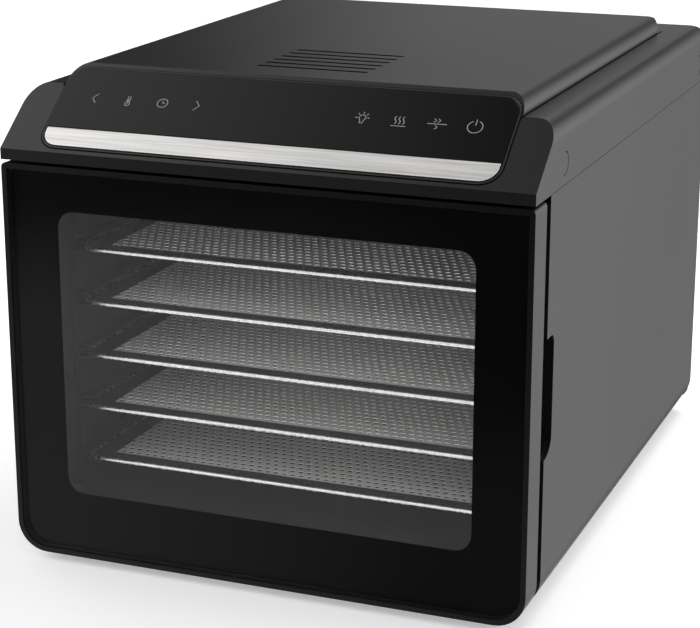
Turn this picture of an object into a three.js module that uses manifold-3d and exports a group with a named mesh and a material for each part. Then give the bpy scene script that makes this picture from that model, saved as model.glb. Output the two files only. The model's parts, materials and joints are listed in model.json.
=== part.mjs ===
// Table-top food dehydrator: a box-shaped housing with a side-hinged glass door, five sliding wire trays,
// a sloping touch panel and a fan heater behind the drying chamber.
// Millimetres. +Z is up, the door faces -Y, and the origin is on the table under the middle of the housing.
import * as THREE from "three";
import { mergeVertices } from "three/addons/utils/BufferGeometryUtils.js";
import Module from "manifold-3d";

const wasm = await Module();
wasm.setup();

// ---------------------------------------------------------------- driving dimensions
// Overall
const WIDTH = 345;
const DEPTH = 456; // door glass to the end of the cord gland
const HEIGHT = 319; // feet to the top of the plateau
const GAP = 0.3; // clearance between pieces that are fitted together
const REACH = 1; // how far a cutting solid runs past the face that it cuts

// Housing
const FOOT_HEIGHT = 6;
const COVER_HEIGHT = 53; // seam to the top of the plateau
const WALL = 2.5;
const LOWER_CORNER = 20; // radius of the housing's and the door's lower corners
const REAR_CORNER = 4; // radius of the top cover's upright rear corners
const GLAND_LENGTH = 6; // how far the cord gland stands out of the rear panel
const SMALLEST_CORNER = 0.5; // an outline's corner, however far it is drawn in

// Top cover
const LIP_HEIGHT = 7; // upright front edge under the slope
const SLOPE_RUN = 60; // level length of the sloping front
const LEDGE_DROP = 11.5; // plateau to the ledges beside it
const LEDGE_WIDTH = 22.5; // plateau side to the housing side
const SHOULDER_RADIUS = 12; // outer edge of a ledge
const PLATEAU_RADIUS = 11; // edge of the plateau
const PLATEAU_REAR = 54; // housing rear to the back of the plateau
const PLATEAU_CORNER = 18; // upright rear corners of the plateau
const GROOVE_WIDTH = 1.2; // groove between the plateau and a ledge
const GROOVE_DEPTH = 1.4;
const GROOVE_OFFSET = 0.4; // plateau side to the groove's middle
const GROOVE_END = 58; // housing rear to the back of a groove
const REAR_EDGE_RADIUS = 22;
const VENT_COUNT = 6;
const VENT_PITCH = 12.8;
const VENT_WIDTH = 4;
const VENT_LENGTH = 75;
const VENT_SETBACK = 89; // door front to the first slot
const CAP_RADIUS = 7; // plugs over the side screws
const CAP_THICKNESS = 1.5;
const CAP_RISE = 13; // seam to a plug's middle
const CAP_SUNK = 0.1; // a plug's face under the side
const FRONT_CAP_SETBACK = 59;
const REAR_CAP_SETBACK = 27;

// Touch panel, measured up the slope from the top of the lip
const PANEL_MARGIN = 1.2; // plateau side to the panel's edge
const PANEL_BOTTOM = 3.5;
const PANEL_TOP_MARGIN = 4;
const PANEL_LOWER_RADIUS = 13;
const PANEL_UPPER_RADII = [12, 14]; // across and up the slope
const POCKET_DEPTH = 4;
const POCKET_CLEARANCE = 0.7;
const BEZEL_PROUD = 0.5; // bezel over the slope
const BEZEL_EDGE = 1.2; // bezel that shows round the glass
const FACE_PROUD = 0.3; // glass and strip over the bezel
const STRIP_TOP = 20; // joint between the steel strip and the glass
const STRIP_INSET = 2;
const STRIP_THICKNESS = 1.2;
const PANEL_GLASS_THICKNESS = 2.8;
const TOUCH_COUNT = 4; // touch points on each side of the display
const TOUCH_PITCH = 23.4;
const TOUCH_EDGE = 24.5; // panel side to the outermost touch point
const TOUCH_HEIGHT = 45.5;
const CONTACT_MARGIN = { side: 13, bottom: 6, top: 8 }; // panel, strip and panel top to the contact opening
const CONTACT_CORNER = 3;
const CONTACT_RADIUS = 4;
const TOUCH_BOARD = { setback: 4, play: 3, height: 28 }; // behind the pocket, in its opening, up the slope
const DISPLAY_SIZE = [38, 16]; // across and up the slope

// Door
const DOOR_THICKNESS = 23;
const DOOR_TOP_GAP = 2;
const DOOR_UPPER_CORNER = 3;
const DOOR_RIM = 3.5; // frame that shows around the glass
const DOOR_GLASS_THICKNESS = 4;
const DOOR_OPENING_SIDE = 30.5; // door side to the opening in the frame
const DOOR_OPENING_BOTTOM = 37;
const DOOR_OPENING_TOP = 23;
const DOOR_OPENING_CORNER = 14;
const RETAINER_THICKNESS = 6;
const RETAINER_TOP = 11; // door top to the retainer
const RETAINER_CORNER = 8;
const RETAINER_SETBACK = 1; // edge of the frame's opening to the retainer's
const GASKET_WIDTH = 5;
const GASKET_INSET = 4; // retainer edge to the gasket
const GASKET_SEAT = 2.5;
const HINGE_SIDE = 7.5; // door side to the hinge axis
const HINGE_SETBACK = 13; // door front to the hinge axis
const HINGE_LOW = 26; // door bottom to the lower hinge arm
const HINGE_HIGH = 30; // door top to the upper hinge arm
const HINGE_ARM = 3; // thickness of a hinge arm
const HINGE_ARM_REACH = [3, 6]; // how far an arm stands to each side of the axis
const HINGE_PLATE = { inset: 4, height: 26, thickness: 1.5 }; // its plate, which starts beside the axis
const HINGE_PLATE_PLAY = 1; // plate to gasket
const HINGE_EYE_RADIUS = 5;
const HINGE_PIN_RADIUS = 2;
const HINGE_PIN_LENGTH = 20;
const HINGE_SLOT_PLAY = 1; // above and below an arm in the door's slot
const HINGE_SLOT_MARGIN = 2; // beside an arm in the slot
const HINGE_SLOT_WALL = 1; // slot to the retainer's seat
const MAGNET = { side: 5.5, width: 8, height: 30, depth: 3.5 };
const MAGNET_RISE = 19; // finger recess to the magnet over it
const CATCH_PLATE_THICKNESS = 1.5;

// Front frame and finger recess
const DOOR_BACK_GAP = 4; // door back to the front frame
const FRAME_THICKNESS = 12;
const FRAME_INSET = 4; // housing outline to the frame's outline
const SHELL_SETBACK = 31; // door front to the front edge of the outer shell
const RECESS_RISE = 6; // door's middle to the finger recess's middle
const RECESS_HEIGHT = 76;
const RECESS_NOTCH = 15; // depth of the notch in the shell's front edge
const RECESS_RADIUS = 6;
const RECESS_TAPER = 12; // height of the curved lower end
const CUP_WALL = 1.6;
const CUP_WIDTH = 17; // how far the recess reaches in from the side

// Drying chamber
const CHAMBER_SIDE = 23.5; // housing side to the chamber's inner face
const CHAMBER_FLOOR = 28; // housing underside to the chamber floor
const CHAMBER_TOP = 14; // seam down to the chamber ceiling
const CHAMBER_RADIUS = 10;
const LINER_WALL = 0.8;
const RAIL_THICKNESS = 3;
const RIB_THICKNESS = 2;
const RIB_REACH = 9; // how far a rib stands in from its rail
const RIB_HEADROOM = 3; // free height over a tray in its channel
const RAIL_MARGIN = 6; // chamber corners to a rail's ends
const RAIL_END_PLAY = 2;
const GRILLE_THICKNESS = 1.5;
const GRILLE_ROWS = 7;
const GRILLE_COLUMNS = 3;
const GRILLE_SLOT = [62, 5];
const GRILLE_SPACING = [78, 24];
const LAMP_RADIUS = 13;
const LAMP_FLANGE = 3; // lamp edge that lies under the ceiling
const LAMP_LENS_DEPTH = 2; // lens below the ceiling
const LAMP_HOLDER_HEIGHT = 9; // holder above it
const LAMP_PLACE = [-95, 110]; // from the middle and from the door front
const SENSOR_RADIUS = 2.5;
const SENSOR_PLACE = [25, 22]; // in from the chamber's side and down from its ceiling
const SENSOR_REACH = [-12, 6]; // its ends, from the back of the chamber

// Trays
const TRAY_COUNT = 5;
const TRAY_SIDE_PLAY = 2.7;
const TRAY_SETBACK = 38; // door front to the tray's front wire
const TRAY_REAR_PLAY = 5;
const TRAY_LOWEST = 26; // chamber floor to the lowest tray's wire
const TRAY_HEADROOM = 50; // highest tray's wire to the chamber ceiling
const TRAY_WIRE = 2.8;
const TRAY_CORNER = 12;
const TRAY_INNER_CORNER = 1;
const TRAY_RIM = 12; // flat rim inside the wire
const TRAY_RIM_THICKNESS = 0.8;
const MESH_THICKNESS = 0.6;
const MESH_LAP = 3; // how far the mesh lies under the rim

// Fan compartment, from front to back
const FAN_SPACE = 95; // back of the chamber to the housing rear
const SHROUD_DEPTH = 56;
const SHROUD_MARGIN = 9;
const SHROUD_WALL = 1.2;
const SHROUD_LAP = 8; // fan edge to the shroud's intake hole
const FAN_BLADES = 7;
const FAN_CHORD = 34;
const BLADE_PITCH = 32; // degrees
const BLADE_THICKNESS = 1.6;
const HUB_RADIUS = 19;
const HUB_LENGTH = 22;
const HUB_FACE = 4; // closed front of the hub
const FAN_SETBACK = 26; // chamber back to the front of the hub
const SHAFT_RADIUS = 3;
const HEATER_TUBE = 3.25; // tube radius
const HEATER_ROOM = 7.55; // shroud wall to the heater tube
const FAN_ROOM = 10.75; // heater tube to the fan's edge
const HEATER_SETBACK = 14;
const HEATER_OPENING = 50; // degrees left open at the terminals
const TERMINAL_LENGTH = 8; // heater ends behind the shroud
const CLIP = { reach: 3, depth: 12, arm: 4, foot: 1.5, height: 18, play: 0.5 }; // heater clip
const MOTOR_RADIUS = 27;
const MOTOR_LENGTH = 26;
const MOTOR_NOSE = { wall: 5, length: 6 }; // bearing nose round the shaft
const SHAFT_IN_MOTOR = 8;
const BRACKET_THICKNESS = 2;
const BRACKET_WIDTH = 26;
const BRACKET_LAP = 16; // intake hole to the bracket's ends
const BRACKET_DISC_MARGIN = 4; // motor side to the edge of the bracket's disc
const CUTOUT_RADIUS = 8;
const CUTOUT_HEIGHT = 6;
const CUTOUT_DROP = 16; // shroud top to the cut-out

// Rear panel
const INTAKE_PITCH = 15;
const INTAKE_SLOT = 4;
const INTAKE_MARGIN = 6; // shroud's intake hole to the edge of the slots
const INTAKE_EDGE = 8; // edge of the slots to the outermost one
const GLAND_PLACE = [48, 34]; // in from the housing side and up from its underside
const GLAND_RADIUS = 8;
const GLAND_NECK = 7; // radius in the rear panel
const GLAND_FLANGE = { radius: 10.5, thickness: 2.5 };
const GLAND_TAIL = 3; // behind the rear panel's inner face
const GLAND_SHOULDER = 4; // where the cone starts
const GLAND_TIP_WALL = 2;
const CORD_HOLE = 3.6;
const SCREW_HEAD = { radius: 3.6, crown: 2.88, height: 2 };
const SCREW_CROSS = { length: 4.2, width: 0.9, depth: 1.1 }; // driver recess
const SCREW_SHANK = [1.6, 11]; // radius and length
const SCREW_INSET = 11;
const BOSS_RADIUS = 5;

// Feet and boards
const FOOT_RADIUS = 11;
const FOOT_CHAMFER = 1.5;
const FOOT_STEM = [4, 5]; // radius and length
const FOOT_INSET = [42, 62]; // from the side and from each end
const BOARD_THICKNESS = 1.6;
const POWER_BOARD = { half: 62, setback: 60, length: 90, rise: 8 }; // half width, and from the last vent
const POWER_BOARD_LEG = { radius: 3, inset: 6 };
const DUCT_WALL = 1.5;
const DUCT_MARGIN = 6; // vent field to the duct's inner face

// ---------------------------------------------------------------- places worked out from them
const SIDE = WIDTH / 2;
const FRONT = -DEPTH / 2;
const REAR = DEPTH / 2 - GLAND_LENGTH; // outer face of the rear panel
const SEAM = HEIGHT - COVER_HEIGHT;
const UNDERSIDE = FOOT_HEIGHT;
const LIP_TOP = SEAM + LIP_HEIGHT;
const LEDGE = HEIGHT - LEDGE_DROP;
const PLATEAU_HALF = SIDE - LEDGE_WIDTH;
const SLOPE_RISE = HEIGHT - LIP_TOP;
const SLOPE_ANGLE = Math.atan2(SLOPE_RISE, SLOPE_RUN);
const SLOPE_LENGTH = Math.hypot(SLOPE_RISE, SLOPE_RUN);
const PANEL_HALF = PLATEAU_HALF - PANEL_MARGIN;
const PANEL_TOP = SLOPE_LENGTH - PANEL_TOP_MARGIN;
const DOOR_TOP = SEAM - DOOR_TOP_GAP;
const RETAINER_SIDE = HINGE_SIDE + HINGE_ARM_REACH[1] + HINGE_SLOT_MARGIN + HINGE_SLOT_WALL;
const DOOR_BACK = FRONT + DOOR_THICKNESS;
const FRAME_FRONT = DOOR_BACK + DOOR_BACK_GAP;
const FRAME_BACK = FRAME_FRONT + FRAME_THICKNESS;
const SHELL_FRONT = FRONT + SHELL_SETBACK;
const CHAMBER_HALF = SIDE - CHAMBER_SIDE;
const FLOOR = UNDERSIDE + CHAMBER_FLOOR;
const CEILING = SEAM - CHAMBER_TOP;
const CHAMBER_BACK = REAR - FAN_SPACE;
const MIDDLE = (FLOOR + CEILING) / 2; // height of the fan's axis
const HEATER_RADIUS = (CEILING - FLOOR) / 2 - SHROUD_MARGIN - SHROUD_WALL - HEATER_ROOM - HEATER_TUBE;
const FAN_RADIUS = HEATER_RADIUS - HEATER_TUBE - FAN_ROOM;
const SHROUD_HOLE = FAN_RADIUS - SHROUD_LAP;
const INTAKE_RADIUS = SHROUD_HOLE + INTAKE_MARGIN;
const INTAKE_ROWS = 2 * Math.floor((INTAKE_RADIUS - INTAKE_EDGE) / INTAKE_PITCH) + 1;
const RAIL_INNER = CHAMBER_HALF - GAP - RAIL_THICKNESS;
const TRAY_HALF = RAIL_INNER - TRAY_SIDE_PLAY;
const TRAY_FRONT = FRONT + TRAY_SETBACK;
const TRAY_DEPTH = CHAMBER_BACK - TRAY_REAR_PLAY - GRILLE_THICKNESS - TRAY_FRONT;
const TRAY_PITCH = (CEILING - TRAY_HEADROOM - FLOOR - TRAY_LOWEST) / (TRAY_COUNT - 1);
const SHROUD_BACK = CHAMBER_BACK + SHROUD_DEPTH;
const MOTOR_FRONT = SHROUD_BACK + BRACKET_THICKNESS + 2 * GAP;

const TURN = Math.PI * 2;
const radians = THREE.MathUtils.degToRad;

// ---------------------------------------------------------------- materials
function paint(color, roughness, metalness = 0, opacity = 1) {
  return new THREE.MeshStandardMaterial({ color, roughness, metalness, opacity, transparent: opacity < 1 });
}
const MATERIAL = {
  housing: paint(0x2b2a2a, 0.45),
  trim: paint(0x0d0d0d, 0.35),
  panelGlass: paint(0x0a0a0b, 0.06),
  doorGlass: paint(0x101010, 0.05, 0, 0.5),
  steel: paint(0xc9c8c4, 0.3, 1),
  liner: paint(0x3a3a3a, 0.4, 0.6),
  rubber: paint(0x151515, 0.8),
  fan: paint(0x3c3c3e, 0.6),
  heater: paint(0x6d6258, 0.5, 0.8),
  motor: paint(0x8d8d8c, 0.45, 0.9),
  board: paint(0x1d4a2c, 0.6),
  lamp: paint(0xe8e6dc, 0.3),
  display: paint(0x191919, 0.3),
};

// ---------------------------------------------------------------- solids
function solid(geometry) {
  const bare = geometry.clone();
  bare.deleteAttribute("normal");
  bare.deleteAttribute("uv");
  const merged = mergeVertices(bare, 1e-4);
  return new wasm.Manifold(
    new wasm.Mesh({
      numProp: 3,
      vertProperties: merged.attributes.position.array,
      triVerts: new Uint32Array(merged.index.array),
    }),
  );
}

function geometryOf(body) {
  const mesh = body.getMesh();
  const geometry = new THREE.BufferGeometry();
  geometry.setAttribute("position", new THREE.BufferAttribute(new Float32Array(mesh.vertProperties), 3));
  geometry.setIndex(new THREE.BufferAttribute(new Uint32Array(mesh.triVerts), 1));
  geometry.computeVertexNormals();
  return geometry;
}

function grown([low, high], by) {
  return [low - by, high + by];
}

function box([x0, x1], [y0, y1], [z0, z1]) {
  const geometry = new THREE.BoxGeometry(x1 - x0, y1 - y0, z1 - z0);
  return solid(geometry.translate((x0 + x1) / 2, (y0 + y1) / 2, (z0 + z1) / 2));
}

function extruded(shape, depth, segments) {
  return new THREE.ExtrudeGeometry(shape, { depth, bevelEnabled: false, curveSegments: segments });
}

// A shape drawn in X and Z, between two depths in Y.
function frontal(shape, [y0, y1], segments = 4) {
  return solid(extruded(shape, y1 - y0, segments).rotateX(Math.PI / 2).translate(0, y1, 0));
}

// A shape drawn in Y and Z, between two places in X.
function sideways(shape, [x0, x1], segments = 4) {
  const turn = new THREE.Matrix4().makeBasis(
    new THREE.Vector3(0, 1, 0),
    new THREE.Vector3(0, 0, 1),
    new THREE.Vector3(1, 0, 0),
  );
  return solid(extruded(shape, x1 - x0, segments).applyMatrix4(turn).translate(x0, 0, 0));
}

// A shape drawn in X and Y, between two heights.
function upright(shape, [z0, z1], segments = 4) {
  return solid(extruded(shape, z1 - z0, segments).translate(0, 0, z0));
}

// A rod between two points on one line, with flats facing each other across its axis.
function rod(radius, from, to, segments = 16) {
  const a = new THREE.Vector3(...from);
  const b = new THREE.Vector3(...to);
  const along = b.clone().sub(a);
  const geometry = new THREE.CylinderGeometry(radius, radius, along.length(), segments);
  const up = new THREE.Vector3(0, 1, 0);
  const turn = new THREE.Quaternion().setFromUnitVectors(up, along.clone().normalize());
  return solid(geometry.applyQuaternion(turn).translate(...a.add(b).divideScalar(2).toArray()));
}

// A turned piece: the profile is [radius, distance along +Y] pairs from axis to axis, or a closed ring.
function turned(profile, segments = 16) {
  return new THREE.LatheGeometry(
    profile.map(([r, y]) => new THREE.Vector2(r, y)),
    segments,
  );
}

// A plain disc that lies on its first face.
function disc(radius, thickness) {
  return turned([
    [0, 0],
    [radius, 0],
    [radius, thickness],
    [0, thickness],
  ]);
}

// A rectangle with its own radius at each corner: lower left, lower right, upper right and upper left.
function roundedRect([x0, x1], [y0, y1], [a, b, c, d]) {
  const shape = new THREE.Shape();
  shape.moveTo(x0 + a, y0);
  shape.lineTo(x1 - b, y0);
  if (b) shape.absarc(x1 - b, y0 + b, b, -Math.PI / 2, 0);
  shape.lineTo(x1, y1 - c);
  if (c) shape.absarc(x1 - c, y1 - c, c, 0, Math.PI / 2);
  shape.lineTo(x0 + d, y1);
  if (d) shape.absarc(x0 + d, y1 - d, d, Math.PI / 2, Math.PI);
  shape.lineTo(x0, y0 + a);
  if (a) shape.absarc(x0 + a, y0 + a, a, Math.PI, Math.PI * 1.5);
  return shape;
}

const joined = (solids) => solids.reduce((whole, piece) => whole.add(piece));
const cut = (whole, ...tools) => tools.reduce((left, tool) => left.subtract(tool), whole);

const product = new THREE.Group();

function place(name, shape, material, parent = product) {
  const geometry = shape.isBufferGeometry ? shape : geometryOf(shape);
  const mesh = new THREE.Mesh(geometry, material);
  mesh.name = name;
  parent.add(mesh);
  return mesh;
}

// ---------------------------------------------------------------- housing
// The housing's outline from the front, drawn in by an inset.
function housingOutline(inset, top) {
  const corner = Math.max(LOWER_CORNER - inset, 1);
  return roundedRect([inset - SIDE, SIDE - inset], [UNDERSIDE + inset, top], [corner, corner, 0, 0]);
}

const footPlaces = [-1, 1].flatMap((x) => [
  { end: "front", x: x * (SIDE - FOOT_INSET[0]), y: FRONT + FOOT_INSET[1] },
  { end: "rear", x: x * (SIDE - FOOT_INSET[0]), y: REAR - FOOT_INSET[1] },
]);
const sideName = (x) => (x < 0 ? "left" : "right");

const screwPlaces = [-1, 1].flatMap((x) => [
  { x: x * (SIDE - WALL - SCREW_INSET), z: UNDERSIDE + WALL + SCREW_INSET },
  { x: x * (SIDE - WALL - SCREW_INSET), z: SEAM - SCREW_INSET },
]);

const recessMiddle = (UNDERSIDE + DOOR_TOP) / 2 + RECESS_RISE;
const recess = {
  z: [recessMiddle - RECESS_HEIGHT / 2, recessMiddle + RECESS_HEIGHT / 2],
  back: SHELL_FRONT + RECESS_NOTCH,
};

// The finger recess from the side: square towards the door, rounded above and curved below.
function recessOutline() {
  const [low, high] = recess.z;
  const front = FRAME_FRONT - REACH;
  const shape = new THREE.Shape();
  shape.moveTo(front, low);
  shape.lineTo(SHELL_FRONT, low);
  shape.absellipse(SHELL_FRONT, low + RECESS_TAPER, RECESS_NOTCH, RECESS_TAPER, -Math.PI / 2, 0);
  shape.lineTo(recess.back, high - RECESS_RADIUS);
  shape.absarc(recess.back - RECESS_RADIUS, high - RECESS_RADIUS, RECESS_RADIUS, 0, Math.PI / 2);
  shape.lineTo(front, high);
  return shape;
}

// Both sides and the bottom are one U-shaped moulding, with a finger notch and four screw bosses.
function outerShell() {
  const outer = frontal(housingOutline(0, SEAM - GAP), [SHELL_FRONT, REAR]);
  const inner = frontal(housingOutline(WALL, SEAM + REACH), [SHELL_FRONT - REACH, REAR + REACH]);
  const notch = sideways(recessOutline(), [SIDE - WALL - REACH, SIDE + REACH]);
  const bossBack = REAR - WALL - GAP;
  const bossFront = bossBack - SCREW_SHANK[1] - WALL;
  const bosses = screwPlaces.map(({ x, z }) => {
    const wallSide = Math.sign(x) * (SIDE - WALL / 2);
    const web = box(
      [Math.min(x, wallSide), Math.max(x, wallSide)],
      [bossFront, bossBack],
      [z - BOSS_RADIUS / 2, z + BOSS_RADIUS / 2],
    );
    return rod(BOSS_RADIUS, [x, bossFront, z], [x, bossBack, z], 12).add(web);
  });
  const screwHoles = screwPlaces.map(({ x, z }) =>
    rod(SCREW_SHANK[0] + GAP, [x, bossFront + WALL - REACH, z], [x, bossBack + REACH, z], 12),
  );
  const stemHoles = footPlaces.map(({ x, y }) =>
    rod(FOOT_STEM[0] + GAP, [x, y, UNDERSIDE - REACH], [x, y, UNDERSIDE + WALL + REACH], 16),
  );
  return cut(joined([cut(outer, inner), ...bosses]), notch, ...screwHoles, ...stemHoles);
}

function rearPanel() {
  const face = frontal(housingOutline(WALL + GAP, SEAM - GAP), [REAR - WALL, REAR]);
  const slots = Array.from({ length: INTAKE_ROWS }, (_, row) => {
    const rise = (row - (INTAKE_ROWS - 1) / 2) * INTAKE_PITCH;
    const half = Math.sqrt(INTAKE_RADIUS ** 2 - rise ** 2);
    const z = MIDDLE + rise;
    return box([-half, half], [REAR - WALL - REACH, REAR + REACH], grown([z, z], INTAKE_SLOT / 2));
  });
  const ribs = box([-WALL, WALL], [REAR - WALL, REAR], [MIDDLE - INTAKE_RADIUS, MIDDLE + INTAKE_RADIUS]);
  const holes = screwPlaces.map(({ x, z }) =>
    rod(SCREW_SHANK[0] + GAP, [x, REAR - WALL - REACH, z], [x, REAR + REACH, z], 12),
  );
  const gland = rod(GLAND_NECK, glandPoint(-WALL - REACH), glandPoint(REACH), 20);
  return cut(cut(face, ...slots).add(ribs), ...holes, gland);
}

function glandPoint(behind) {
  return [SIDE - GLAND_PLACE[0], REAR + behind, UNDERSIDE + GLAND_PLACE[1]];
}

// A bush that holds the mains lead where it leaves the rear panel.
function cordGland() {
  const neck = GLAND_NECK - GAP;
  const tail = -WALL - GLAND_TAIL;
  return turned([
    [CORD_HOLE, tail],
    [neck, tail],
    [neck, GAP],
    [GLAND_FLANGE.radius, GAP],
    [GLAND_FLANGE.radius, GLAND_FLANGE.thickness],
    [GLAND_RADIUS, GLAND_SHOULDER],
    [CORD_HOLE + GLAND_TIP_WALL, GLAND_LENGTH],
    [CORD_HOLE, GLAND_LENGTH],
    [CORD_HOLE, tail],
  ]);
}

// A self-tapping screw with a crossed driver recess in its head.
function rearScrew() {
  const body = turned(
    [
      [0, -SCREW_SHANK[1]],
      [SCREW_SHANK[0], -SCREW_SHANK[1]],
      [SCREW_SHANK[0], GAP],
      [SCREW_HEAD.radius, GAP],
      [SCREW_HEAD.crown, SCREW_HEAD.height],
      [0, SCREW_HEAD.height],
    ],
    12,
  );
  const half = SCREW_CROSS.length / 2;
  const arm = SCREW_CROSS.width / 2;
  const depth = [SCREW_HEAD.height - SCREW_CROSS.depth, SCREW_HEAD.height + REACH];
  return cut(solid(body), box([-half, half], depth, [-arm, arm]), box([-arm, arm], depth, [-half, half]));
}

function foot() {
  return turned(
    [
      [0, 0],
      [FOOT_RADIUS - FOOT_CHAMFER, 0],
      [FOOT_RADIUS, FOOT_CHAMFER],
      [FOOT_RADIUS, UNDERSIDE - GAP],
      [FOOT_STEM[0], UNDERSIDE - GAP],
      [FOOT_STEM[0], UNDERSIDE + FOOT_STEM[1]],
      [0, UNDERSIDE + FOOT_STEM[1]],
    ],
    16,
  ).rotateX(Math.PI / 2);
}

// ---------------------------------------------------------------- top cover
// A part of the cover from the side: the lip and slope in front, and a rounded edge behind.
function coverProfile(top, rear, edge, inset) {
  const lip = LIP_TOP - inset * Math.tan((Math.PI / 2 - SLOPE_ANGLE) / 2);
  const front = FRONT + inset;
  const height = top - inset;
  const shape = new THREE.Shape();
  shape.moveTo(front, SEAM);
  shape.lineTo(rear - inset, SEAM);
  shape.lineTo(rear - inset, top - edge);
  shape.absarc(rear - edge, top - edge, edge - inset, 0, Math.PI / 2);
  shape.lineTo(front + (height - lip) / Math.tan(SLOPE_ANGLE), height);
  shape.lineTo(front, lip);
  shape.closePath();
  return shape;
}

// A part of the cover as what its front, side and plan outlines have in common, drawn in by an inset.
function coverBlock({ half, top, shoulder, rear, edge, corner }, inset) {
  const across = [inset - half, half - inset];
  const along = [FRONT + inset, rear - inset];
  const upper = shoulder - inset;
  const behind = corner - inset;
  return frontal(roundedRect(across, [SEAM, top - inset], [0, 0, upper, upper]), along)
    .intersect(sideways(coverProfile(top, rear, edge, inset), across))
    .intersect(upright(roundedRect(across, along, [0, 0, behind, behind]), [SEAM, top]));
}

const WINGS = {
  half: SIDE,
  top: LEDGE,
  shoulder: SHOULDER_RADIUS,
  rear: REAR,
  edge: REAR_EDGE_RADIUS,
  corner: REAR_CORNER,
};
const PLATEAU = {
  half: PLATEAU_HALF,
  top: HEIGHT,
  shoulder: PLATEAU_RADIUS,
  rear: REAR - PLATEAU_REAR,
  edge: PLATEAU_RADIUS,
  corner: PLATEAU_CORNER,
};

// The cover's outside, drawn in by an inset: two shouldered wings with a raised plateau between them.
function coverForm(inset) {
  return coverBlock(WINGS, inset).add(coverBlock(PLATEAU, inset));
}

// Moves a solid drawn on the slope (across, up the slope, out of it) to its place on the cover.
function onSlope(geometry) {
  return solid(geometry.rotateX(SLOPE_ANGLE).translate(0, FRONT, LIP_TOP));
}

// The touch panel's outline, drawn in by an inset and cut off below or above the strip's joint.
function panelOutline(inset, low = PANEL_BOTTOM + inset, high = PANEL_TOP - inset) {
  const half = PANEL_HALF - inset;
  const lower = PANEL_LOWER_RADIUS - inset;
  const [across, up] = PANEL_UPPER_RADII.map((r) => r - inset);
  const shape = new THREE.Shape();
  if (low < PANEL_BOTTOM + PANEL_LOWER_RADIUS) {
    shape.moveTo(lower - half, low);
    shape.lineTo(half - lower, low);
    shape.absarc(half - lower, low + lower, lower, -Math.PI / 2, 0);
  } else {
    shape.moveTo(-half, low);
    shape.lineTo(half, low);
  }
  if (high > PANEL_TOP - PANEL_UPPER_RADII[1]) {
    shape.lineTo(half, high - up);
    shape.absellipse(half - across, high - up, across, up, 0, Math.PI / 2);
    shape.lineTo(across - half, high);
    shape.absellipse(across - half, high - up, across, up, Math.PI / 2, Math.PI);
  } else {
    shape.lineTo(half, high);
    shape.lineTo(-half, high);
  }
  if (low < PANEL_BOTTOM + PANEL_LOWER_RADIUS) {
    shape.lineTo(-half, low + lower);
    shape.absarc(lower - half, low + lower, lower, Math.PI, Math.PI * 1.5);
  }
  return shape;
}

function panelPlate(outline, [low, high]) {
  return extruded(outline, high - low, 4).translate(0, 0, low);
}

const capPlaces = [-1, 1].flatMap((x) => [
  { end: "front", x, y: FRONT + FRONT_CAP_SETBACK },
  { end: "rear", x, y: REAR - REAR_CAP_SETBACK },
]);

// Openings behind the panel, through which the touch contacts reach the glass.
const contactHalf = PANEL_HALF - CONTACT_MARGIN.side;

function contactOpening(heights) {
  const up = [STRIP_TOP + CONTACT_MARGIN.bottom, PANEL_TOP - CONTACT_MARGIN.top];
  const corners = Array(4).fill(CONTACT_CORNER);
  return panelPlate(roundedRect([-contactHalf, contactHalf], up, corners), heights);
}

function ventSlots() {
  const end = VENT_WIDTH / 2;
  return Array.from({ length: VENT_COUNT }, (_, i) => {
    const y = FRONT + VENT_SETBACK + i * VENT_PITCH;
    const outline = roundedRect(
      [-VENT_LENGTH / 2, VENT_LENGTH / 2],
      [y - end, y + end],
      [end, end, end, end],
    );
    return upright(outline, [HEIGHT - WALL - REACH, HEIGHT + REACH], 2);
  });
}

function grooves() {
  return [-1, 1].map((x) => {
    const middle = x * (PLATEAU_HALF + GROOVE_OFFSET);
    return box(
      grown([middle, middle], GROOVE_WIDTH / 2),
      [FRONT - REACH, REAR - GROOVE_END],
      [LEDGE - GROOVE_DEPTH, LEDGE + REACH],
    );
  });
}

// One moulding, closed by a soffit over the door and open underneath behind it.
function topCover() {
  const soffit = box([-SIDE, SIDE], [FRONT, FRAME_BACK], [SEAM - REACH, SEAM + WALL]);
  const hollow = cut(coverForm(WALL), soffit).add(
    box([WALL - SIDE, SIDE - WALL], [FRAME_BACK, REAR - REAR_CORNER], [SEAM - REACH, SEAM + REACH]),
  );
  const pocket = onSlope(panelPlate(panelOutline(-POCKET_CLEARANCE), [-POCKET_DEPTH, POCKET_DEPTH]));
  const backing = panelPlate(panelOutline(-WALL), [-POCKET_DEPTH - WALL, -WALL / 2]);
  const window = onSlope(contactOpening([-POCKET_DEPTH - 2 * WALL, POCKET_DEPTH]));
  const capSeats = capPlaces.map(({ x, y }) =>
    rod(CAP_RADIUS + GAP, capPoint(x, y, REACH), capPoint(x, y, -CAP_THICKNESS - GAP), 20),
  );
  const shell = cut(coverForm(0), hollow).add(onSlope(backing).intersect(coverForm(WALL / 2)));
  return cut(shell, pocket, window, ...ventSlots(), ...capSeats, ...grooves());
}

function capPoint(x, y, out) {
  return [x * (SIDE + out), y, SEAM + CAP_RISE];
}

// ---------------------------------------------------------------- touch panel
const panel = new THREE.Group();
panel.position.set(0, FRONT, LIP_TOP);
panel.rotation.x = SLOPE_ANGLE;
product.add(panel);

const glassBack = BEZEL_PROUD - PANEL_GLASS_THICKNESS;
const boardFace = -POCKET_DEPTH - WALL - TOUCH_BOARD.setback;
const touchPoints = [-1, 1].flatMap((side) =>
  Array.from({ length: TOUCH_COUNT }, (_, i) => side * (PANEL_HALF - TOUCH_EDGE - i * TOUCH_PITCH)),
);

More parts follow.
